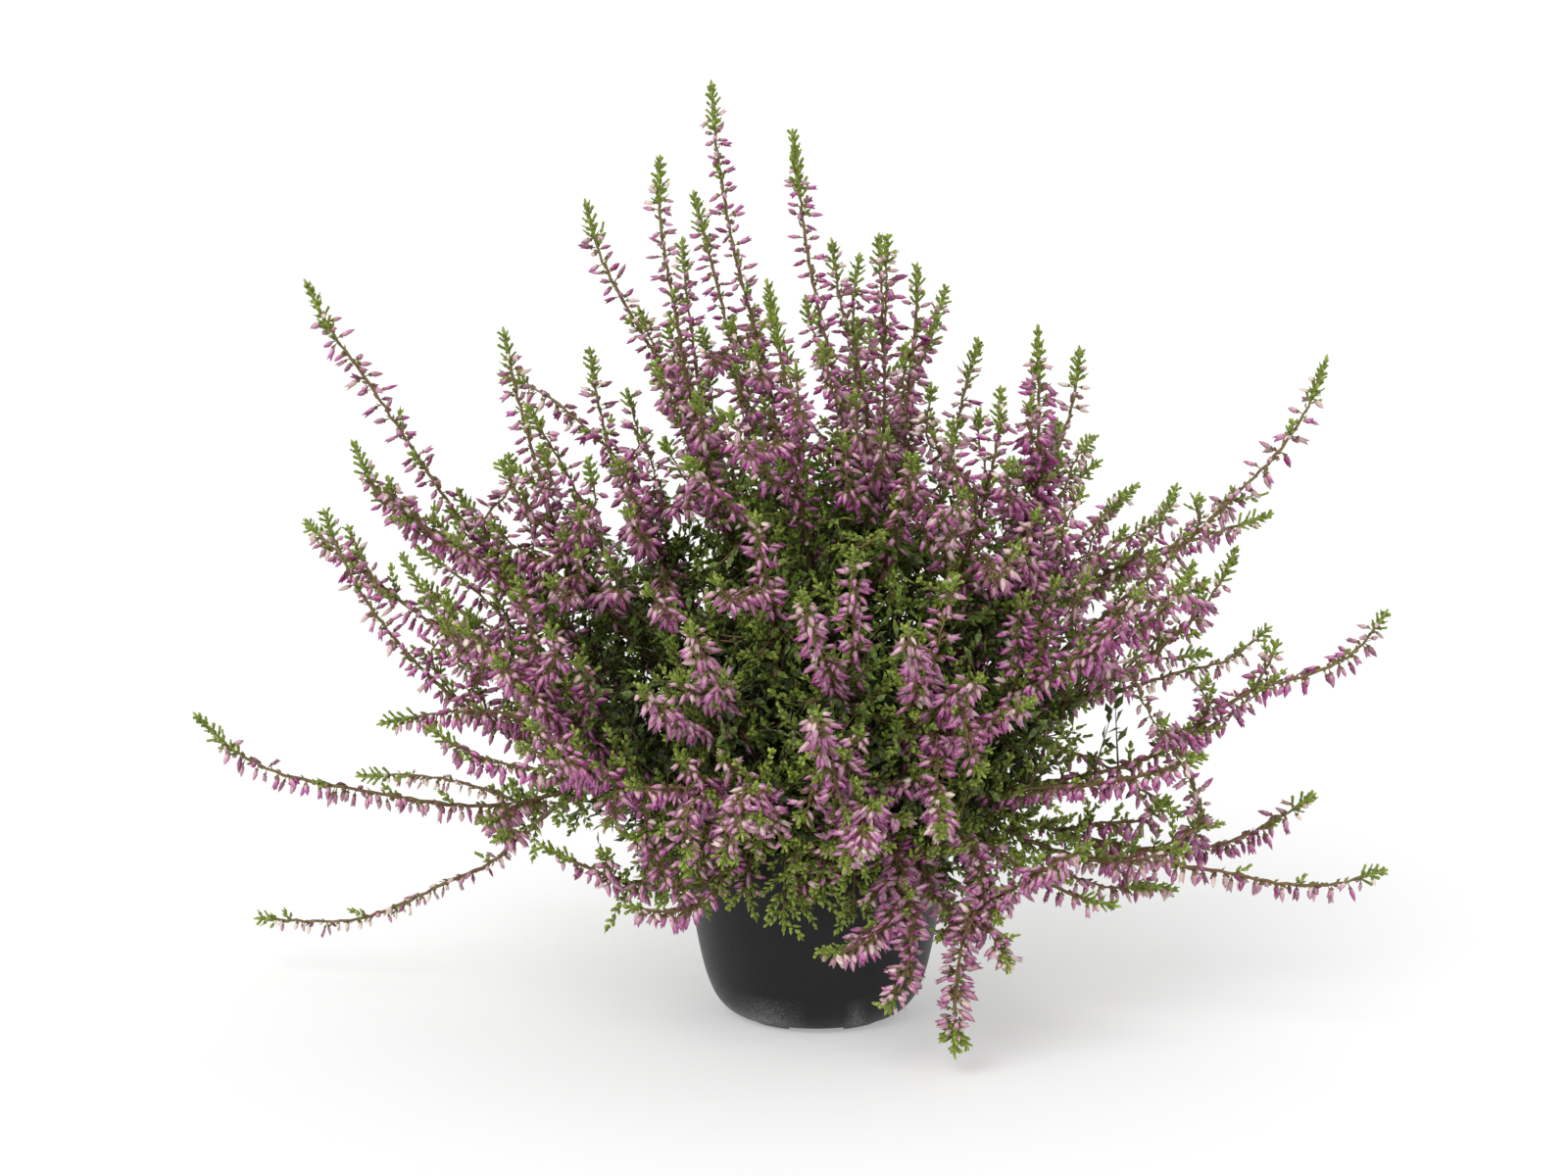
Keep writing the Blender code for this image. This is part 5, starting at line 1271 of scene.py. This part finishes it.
def make_soil(material):
    wall = [(r - POT_WALL - GAP - 0.1, z) for r, z in rounded(POT_SIDE[2:-1], 3.0)]
    slope = (POT_SIDE[-1][0] - POT_SIDE[-2][0]) / (POT_SIDE[-1][1] - POT_SIDE[-2][1])
    edge = POT_SIDE[-2][0] + slope * (SOIL_TOP - 1.5 - POT_SIDE[-2][1]) - POT_WALL - GAP - 0.1
    top = [(edge - 1.4 - k * 0.75, SOIL_TOP - 0.5) for k in range(20)]
    profile = [(0, POT_FLOOR_TOP + GAP), (29.6, POT_FLOOR_TOP + GAP), (32.2, 4.2 + GAP)] + wall + [(edge, SOIL_TOP - 1.5)] + top + [(24.0, SOIL_TOP), (12.0, SOIL_TOP), (0, SOIL_TOP)]

    def lumps(r, z, a):
        if z > SOIL_TOP - 0.9 and r > 35:
            x, y = r * math.cos(a), r * math.sin(a)
            h = noise.noise(Vector((x * 0.22, y * 0.22, 3.0))) * 1.3 + noise.noise(Vector((x * 0.7, y * 0.7, 9.0))) * 0.75 + noise.noise(Vector((x * 1.7, y * 1.7, 5.0))) * 0.4
            return 0.0, 0.35 + h
        if z < SOIL_TOP - 2 and z > 6:
            return 0.14 * noise.noise(Vector((math.cos(a) * 9, math.sin(a) * 9, z * 0.4))), 0.0
        return 0.0, 0.0

    soil = lathe_mesh("peat_plug", profile, 116, lumps)
    soil.data.shade_smooth()
    settle_piece(soil, material, "potting_soil")
    heap = Heap()
    crumb = spun([(0, 0), (0.25, 0.85), (0.7, 1.0), (1.0, 0)], 5)
    m = 300
    r = np.sqrt(rng.uniform(35.5**2, 46.6**2, m))
    a = rng.uniform(0, 6.28, m)
    size = rng.uniform(0.5, 1.5, m)
    origin = np.stack([r * np.cos(a), r * np.sin(a), SOIL_TOP - 0.6 + rng.uniform(0.0, 0.6, m) - size * 0.2], axis=1)
    axes = axes_for(unit(rng.normal(0, 1, (m, 3))), rng.uniform(0, 6.28, m))
    box = np.stack([size * rng.uniform(0.5, 1.0, m), size * rng.uniform(0.5, 1.0, m), size * 1.7], axis=1)
    heap.add(crumb, origin, axes, box, rng.uniform(0, 1, m), rng.uniform(0, 1, m), rng.uniform(0, 1, m))
    m = 90
    r, a = rng.uniform(36, 46, m), rng.uniform(0, 6.28, m)
    foot = np.stack([r * np.cos(a), r * np.sin(a), np.full(m, SOIL_TOP + 0.4)], axis=1)
    way = unit(np.stack([rng.normal(0, 1, m), rng.normal(0, 1, m), rng.normal(0, 0.10, m)], axis=1))
    half = rng.uniform(1.5, 3.6, m)[:, None]
    a1, a2 = foot - way * half, foot + way * half
    keep = (np.hypot(a1[:, 0], a1[:, 1]) < 46.8) & (np.hypot(a2[:, 0], a2[:, 1]) < 46.8)
    fibres = np.stack([a1, (a1 + a2) / 2 + rng.normal(0, 0.25, (m, 3)), a2], axis=1)[keep]
    heap.tubes(fibres, np.broadcast_to(np.array([0.16, 0.22, 0.12]), (len(fibres), 3)), 4, rng.uniform(0, 1, len(fibres)), 0.9, 1.0)
    heap.build("peat_crumbs", material, "peat", False)


def make_crown(material):
    profile = [(0, CROWN_FOOT), (CROWN_RADIUS - 1.0, CROWN_FOOT)]
    for r in np.linspace(CROWN_RADIUS, 2.0, 24):
        profile.append((float(r), CROWN_FOOT + 0.5 + CROWN_RISE * max(0.0, 1 - (r / CROWN_RADIUS) ** 2)))
    profile.append((0, CROWN_FOOT + 0.5 + CROWN_RISE))

    def knots(r, z, a):
        x, y = r * math.cos(a), r * math.sin(a)
        if z < CROWN_FOOT + 0.6:
            return 0.9 * noise.noise(Vector((x * 0.25, y * 0.25, 1.0))), 0.0
        swell = 1.5 * noise.noise(Vector((x * 0.16, y * 0.16, 7.0))) + 0.8 * noise.noise(Vector((x * 0.5, y * 0.5, 2.0)))
        ridge = 0.4 * abs(math.sin(9 * a + 1.3 * math.sin(r * 0.25))) * min(1.0, r / 12)
        return 0.0, swell + ridge - 0.3

    crown = lathe_mesh("woody_crown", profile, 96, knots)
    crown.data.shade_smooth()
    settle_piece(crown, material, "root_crown")


# ---------------------------------------------------------------- materials

class Graph:
    """A material and short ways to add nodes to it."""

    def __init__(self, name, roughness):
        self.material = bpy.data.materials.new(name)
        self.material.use_nodes = True
        self.tree = self.material.node_tree
        self.shader = self.tree.nodes["Principled BSDF"]
        self.shader.inputs["Roughness"].default_value = roughness

    def node(self, kind, **values):
        made = self.tree.nodes.new(kind)
        for key, value in values.items():
            setattr(made, key, value)
        return made

    def link(self, a, b):
        self.tree.links.new(a, b)

    def place(self):
        return self.node("ShaderNodeTexCoord").outputs["Object"]

    def noise(self, scale, detail=3.0, roughness=0.55, distortion=0.0):
        made = self.node("ShaderNodeTexNoise")
        made.inputs["Scale"].default_value = scale
        made.inputs["Detail"].default_value = detail
        made.inputs["Roughness"].default_value = roughness
        made.inputs["Distortion"].default_value = distortion
        self.link(self.place(), made.inputs["Vector"])
        return made.outputs["Fac"]

    def ramp(self, value, stops, ease="LINEAR"):
        made = self.node("ShaderNodeValToRGB")
        made.color_ramp.interpolation = ease
        while len(made.color_ramp.elements) > 1:
            made.color_ramp.elements.remove(made.color_ramp.elements[-1])
        for k, (at, colour) in enumerate(stops):
            element = made.color_ramp.elements[0] if k == 0 else made.color_ramp.elements.new(at)
            element.position = at
            element.color = (*colour, 1.0) if isinstance(colour, tuple) else (colour, colour, colour, 1.0)
        self.link(value, made.inputs["Fac"])
        return made.outputs["Color"]

    def mix(self, factor, a, b, how="MIX"):
        made = self.node("ShaderNodeMix", data_type="RGBA", blend_type=how)
        for socket, value in ((made.inputs[0], factor), (made.inputs[6], a), (made.inputs[7], b)):
            if isinstance(value, (int, float)):
                socket.default_value = value
            elif isinstance(value, tuple):
                socket.default_value = (*value, 1.0)
            else:
                self.link(value, socket)
        return made.outputs[2]

    def maths(self, how, a, b=0.0, c=0.0):
        made = self.node("ShaderNodeMath", operation=how)
        for socket, value in zip(made.inputs, (a, b, c)):
            if isinstance(value, (int, float)):
                socket.default_value = value
            else:
                self.link(value, socket)
        return made.outputs[0]

    def tone(self):
        made = self.node("ShaderNodeAttribute", attribute_name="tone")
        split = self.node("ShaderNodeSeparateColor")
        self.link(made.outputs["Color"], split.inputs[0])
        return split.outputs[0], split.outputs[1], split.outputs[2], made.outputs["Alpha"]

    def bump(self, height, distance, strength=1.0):
        made = self.node("ShaderNodeBump")
        made.inputs["Distance"].default_value = distance
        made.inputs["Strength"].default_value = strength
        self.link(height, made.inputs["Height"])
        self.link(made.outputs["Normal"], self.shader.inputs["Normal"])


def petal_material():
    g = Graph("heather_petals", 0.45)
    # side: the side mark with painted light, from the shapes' tone
    along, chance, side, pale = g.tone()
    grain = g.noise(420.0, 4.0, 0.6)
    fine = g.noise(1500.0, 2.0, 0.5)
    pick = g.maths("ADD", g.maths("MULTIPLY", chance, 0.72), g.maths("MULTIPLY", grain, 0.36))
    body = g.ramp(pick, [(0.10, (0.105, 0.002, 0.046)), (0.36, (0.245, 0.009, 0.128)), (0.62, (0.385, 0.026, 0.235)), (0.92, (0.525, 0.095, 0.385))])
    # painted shade: deeper on the side turned from the light; painted highlight: lilac where it looks up and out; near
    # the stalk a whitish base colour, shown only on that lit side as painted highlight
    painted_shade = g.ramp(side, [(0.10, 0.85), (0.44, 0.0)])
    body = g.mix(painted_shade, body, (0.125, 0.004, 0.058))
    # painted highlight: how much a point faces up and out, with fine noise
    sky = g.maths("ADD", g.maths("MULTIPLY", side, 0.95), g.maths("MULTIPLY", g.maths("SUBTRACT", fine, 0.5), 0.8))
    body = g.mix(g.ramp(sky, [(0.64, 0.0), (0.86, 0.57)]), body, (0.780, 0.340, 0.655))
    body = g.mix(g.ramp(along, [(0.72, 0.0), (0.94, 0.20), (1.0, 0.34)]), body, (0.780, 0.480, 0.690))
    # whitish near the stalk: pale base colour, and painted highlight as it is kept to the lit side
    cream_and_painted_highlight = g.maths("MULTIPLY", g.ramp(along, [(0.06, 0.90), (0.28, 0.86), (0.68, 0.0)]), g.ramp(sky, [(0.50, 0.0), (0.78, 1.0)]))
    cream_and_painted_highlight = g.maths("MULTIPLY", cream_and_painted_highlight, g.ramp(chance, [(0.10, 0.10), (0.55, 0.60), (0.85, 1.0)]))
    body = g.mix(cream_and_painted_highlight, body, (0.900, 0.785, 0.670))
    body = g.mix(g.maths("POWER", pale, 1.15), body, (0.850, 0.715, 0.600))
    foot = g.ramp(along, [(0.0, 0.55), (0.14, 0.0)])
    body = g.mix(foot, body, (0.200, 0.110, 0.080))
    g.link(body, g.shader.inputs["Base Color"])
    rough = g.ramp(grain, [(0.3, 0.34), (0.7, 0.54)])
    g.link(rough, g.shader.inputs["Roughness"])
    g.bump(g.maths("ADD", g.maths("MULTIPLY", fine, 0.5), grain), 0.00022, 0.6)
    return g.material


def leaf_material():
    g = Graph("heather_leaves", 0.5)
    along, chance, kind, age = g.tone()
    patch = g.noise(55.0, 2.0)
    fine = g.noise(900.0, 3.0, 0.6)
    # age carries the leaves' age together with painted light and painted shade
    shade = g.maths("ADD", g.maths("MULTIPLY", age, 0.80), g.maths("MULTIPLY", g.maths("SUBTRACT", chance, 0.5), 0.24))
    # lighter towards each shoot's tip; on plumes darker at the in points, as painted shade in the dips between scale
    # leaves
    shade = g.maths("ADD", shade, g.maths("MULTIPLY", g.maths("SUBTRACT", along, 0.42), 0.34))
    shade = g.maths("ADD", shade, g.maths("MULTIPLY", g.maths("SUBTRACT", fine, 0.5), 0.24))
    # rows of scale leaves along each shoot
    scales = g.maths("SINE", g.maths("MULTIPLY", along, 23.0))
    shade = g.maths("ADD", shade, g.maths("MULTIPLY", scales, 0.085))
    body = g.ramp(shade, [(0.0, (0.014, 0.021, 0.005)), (0.20, (0.050, 0.076, 0.013)), (0.45, (0.128, 0.192, 0.025)), (0.74, (0.265, 0.365, 0.042)), (1.0, (0.430, 0.540, 0.100))])
    old = g.ramp(patch, [(0.58, 0.0), (0.76, 0.50)])
    body = g.mix(old, body, (0.100, 0.085, 0.022))
    cup = g.ramp(g.maths("ADD", g.maths("MULTIPLY", chance, 0.6), g.maths("MULTIPLY", fine, 0.5)), [(0.15, (0.110, 0.092, 0.028)), (0.5, (0.225, 0.138, 0.058)), (0.95, (0.330, 0.300, 0.105))])
    body = g.mix(kind, body, cup)
    g.link(body, g.shader.inputs["Base Color"])
    g.link(g.ramp(fine, [(0.3, 0.38), (0.75, 0.62)]), g.shader.inputs["Roughness"])
    g.bump(g.maths("ADD", fine, g.maths("MULTIPLY", scales, 0.6)), 0.00030, 0.8)
    return g.material


def wood_material():
    g = Graph("heather_bark", 0.8)
    along, chance, kind, pale = g.tone()
    patch = g.noise(240.0, 4.0, 0.62, 0.4)
    fine = g.noise(1300.0, 3.0, 0.6)
    body = g.ramp(along, [(0.0, (0.040, 0.028, 0.018)), (0.30, (0.062, 0.036, 0.020)), (0.58, (0.165, 0.066, 0.030)), (0.84, (0.200, 0.108, 0.044)), (1.0, (0.150, 0.175, 0.050))])
    body = g.mix(g.ramp(patch, [(0.40, 0.0), (0.62, 0.75)]), body, (0.250, 0.205, 0.085))
    body = g.mix(g.ramp(fine, [(0.30, 0.55), (0.52, 0.0)]), body, (0.035, 0.018, 0.012))
    stalks = g.ramp(g.maths("ADD", g.maths("MULTIPLY", chance, 0.6), g.maths("MULTIPLY", fine, 0.5)), [(0.2, (0.150, 0.080, 0.030)), (0.55, (0.270, 0.135, 0.062)), (0.95, (0.300, 0.260, 0.085))])
    body = g.mix(kind, body, stalks)
    g.link(body, g.shader.inputs["Base Color"])
    g.link(g.ramp(patch, [(0.3, 0.62), (0.7, 0.92)]), g.shader.inputs["Roughness"])
    g.bump(g.maths("ADD", patch, g.maths("MULTIPLY", fine, 0.6)), 0.0004, 0.8)
    return g.material


def crown_material():
    g = Graph("woody_crown_bark", 0.9)
    patch = g.noise(120.0, 5.0, 0.65, 0.6)
    fine = g.noise(700.0, 4.0, 0.65)
    body = g.ramp(patch, [(0.25, (0.018, 0.011, 0.007)), (0.50, (0.060, 0.036, 0.022)), (0.72, (0.120, 0.080, 0.052))])
    body = g.mix(g.ramp(fine, [(0.35, 0.7), (0.55, 0.0)]), body, (0.014, 0.009, 0.006))
    g.link(body, g.shader.inputs["Base Color"])
    g.link(g.ramp(fine, [(0.3, 0.98), (0.7, 0.78)]), g.shader.inputs["Roughness"])
    g.bump(g.maths("ADD", patch, g.maths("MULTIPLY", fine, 0.7)), 0.0012, 0.9)
    return g.material


def peat_material():
    g = Graph("peat", 0.95)
    patch = g.noise(160.0, 6.0, 0.7)
    fine = g.noise(900.0, 4.0, 0.7)
    body = g.ramp(patch, [(0.30, (0.008, 0.005, 0.003)), (0.52, (0.028, 0.017, 0.010)), (0.70, (0.070, 0.045, 0.028))])
    body = g.mix(g.ramp(fine, [(0.60, 0.0), (0.74, 0.75)]), body, (0.150, 0.105, 0.068))
    g.link(body, g.shader.inputs["Base Color"])
    g.link(g.ramp(fine, [(0.3, 1.0), (0.7, 0.85)]), g.shader.inputs["Roughness"])
    g.bump(g.maths("ADD", patch, g.maths("MULTIPLY", fine, 0.8)), 0.0014, 1.0)
    return g.material


def plastic_material():
    g = Graph("black_pot_plastic", 0.4)
    wide = g.noise(26.0, 3.0, 0.5)
    grain = g.noise(650.0, 3.0, 0.6)
    speck = g.noise(2900.0, 2.0, 0.6)
    g.shader.inputs["Specular IOR Level"].default_value = 0.25
    body = g.ramp(wide, [(0.35, (0.0052, 0.0056, 0.0066)), (0.65, (0.0085, 0.0090, 0.0102))])
    # painted glints: small pale grey specks on the rounded lower corner stand in for reflections of light there
    spot = g.node("ShaderNodeSeparateXYZ")
    g.link(g.place(), spot.inputs[0])
    low = g.ramp(g.maths("MULTIPLY", spot.outputs["Z"], 40.0), [(0.05, 0.15), (0.16, 1.0), (0.34, 0.50), (0.62, 0.0)])
    round_it = g.maths("ADD", g.maths("MULTIPLY", spot.outputs["X"], 10.0), 0.5)
    glint_patches = g.ramp(round_it, [(0.08, 0.15), (0.20, 0.30), (0.31, 1.0), (0.38, 0.60), (0.47, 0.0), (0.60, 0.05), (0.645, 0.9), (0.69, 0.1), (0.90, 0.25)])
    glint_specks = g.ramp(speck, [(0.54, 0.0), (0.62, 1.0)])
    painted_glints = g.maths("MULTIPLY", g.maths("MULTIPLY", low, glint_patches), g.maths("ADD", g.maths("MULTIPLY", glint_specks, 0.85), g.maths("MULTIPLY", grain, 0.20)))
    # faint painted glints all over the pot
    painted_glints = g.maths("ADD", painted_glints, g.maths("MULTIPLY", glint_specks, 0.012))
    body = g.mix(painted_glints, body, (0.480, 0.480, 0.480))
    g.link(body, g.shader.inputs["Base Color"])
    rough = g.maths("ADD", g.maths("MULTIPLY", grain, 0.22), g.maths("MULTIPLY", wide, 0.20))
    g.link(g.maths("ADD", rough, 0.20), g.shader.inputs["Roughness"])
    g.bump(g.maths("ADD", g.maths("MULTIPLY", grain, 0.8), g.maths("MULTIPLY", speck, 0.5)), 0.00012, 0.6)
    return g.material


# ---------------------------------------------------------------- light, floor and camera

def look_at(obj, target):
    obj.rotation_mode = "QUATERNION"
    obj.rotation_quaternion = (Vector(target) - obj.location).to_track_quat("-Z", "Y")


def soft_light(name, from_way, strength, spread, colour=(1.0, 1.0, 1.0)):
    """A broad far light, like a large softbox a long way off, so that the whole floor is lit evenly."""
    data = bpy.data.lights.new(name, "SUN")
    data.energy = strength
    data.angle = math.radians(spread)
    data.color = colour
    obj = bpy.data.objects.new(name, data)
    obj.location = from_way
    bpy.context.scene.collection.objects.link(obj)
    look_at(obj, (0, 0, 0))
    return obj


def make_stage():
    scene = bpy.context.scene
    world = bpy.data.worlds.new("studio")
    world.use_nodes = True
    back = world.node_tree.nodes["Background"]
    sky = world.node_tree.nodes.new("ShaderNodeTexCoord")
    split = world.node_tree.nodes.new("ShaderNodeSeparateXYZ")
    fade = world.node_tree.nodes.new("ShaderNodeValToRGB")
    fade.color_ramp.elements[0].position, fade.color_ramp.elements[0].color = 0.10, (1.0, 1.0, 1.0, 1.0)
    fade.color_ramp.elements[1].position, fade.color_ramp.elements[1].color = 0.34, (0.60, 0.60, 0.60, 1.0)
    world.node_tree.links.new(sky.outputs["Generated"], split.inputs[0])
    world.node_tree.links.new(split.outputs["Z"], fade.inputs["Fac"])
    world.node_tree.links.new(fade.outputs["Color"], back.inputs["Color"])
    back.inputs["Strength"].default_value = 1.0
    scene.world = world
    scene.view_settings.view_transform = "Standard"
    scene.view_settings.look = "None"
    scene.view_settings.exposure = 0.0
    scene.view_settings.gamma = 1.0

    mesh = bpy.data.meshes.new("floor")
    mesh.from_pydata([(-40, -40, 0), (40, -40, 0), (40, 40, 0), (-40, 40, 0)], [], [(0, 1, 2, 3)])
    floor = bpy.data.objects.new("floor", mesh)
    floor.location = (0, 0, -0.0002)
    scene.collection.objects.link(floor)
    g = Graph("pale_floor", 0.9)
    g.link(g.ramp(g.noise(3.0, 2.0), [(0.3, (0.66, 0.66, 0.66)), (0.7, (0.68, 0.68, 0.68))]), g.shader.inputs["Base Color"])
    g.shader.inputs["Emission Color"].default_value = (1.0, 1.0, 1.0, 1.0)
    g.shader.inputs["Emission Strength"].default_value = 0.34
    mesh.materials.append(g.material)

    soft_light("key", (-0.55, -1.0, 1.15), 1.55, 40)
    soft_light("back", (0.4, 1.0, 1.5), 0.35, 80)

    data = bpy.data.cameras.new("camera")
    data.lens, data.sensor_width = 100.0, 36.0
    data.clip_start, data.clip_end = 0.05, 50.0
    camera = bpy.data.objects.new("camera", data)
    c, s = math.cos(VIEW_TILT), math.sin(VIEW_TILT)
    camera.location = (AIM[0] * MM, -VIEW_DISTANCE * c * MM, (AIM[2] + VIEW_DISTANCE * s) * MM)
    scene.collection.objects.link(camera)
    look_at(camera, [a * MM for a in AIM])
    scene.camera = camera


def main():
    materials = {"petal": petal_material(), "leaf": leaf_material(), "wood": wood_material()}
    lines, forks = routes()
    tangle = Tangle(lines, forks)
    tangle.settle(90)
    total = np.zeros(3, int)
    for shoot in grow(tangle):
        total += np.array(shoot.build(materials))
    print("stem, leaf and flower triangles:", total, total.sum())
    make_pot(plastic_material())
    make_soil(peat_material())
    make_crown(crown_material())
    make_stage()


main()
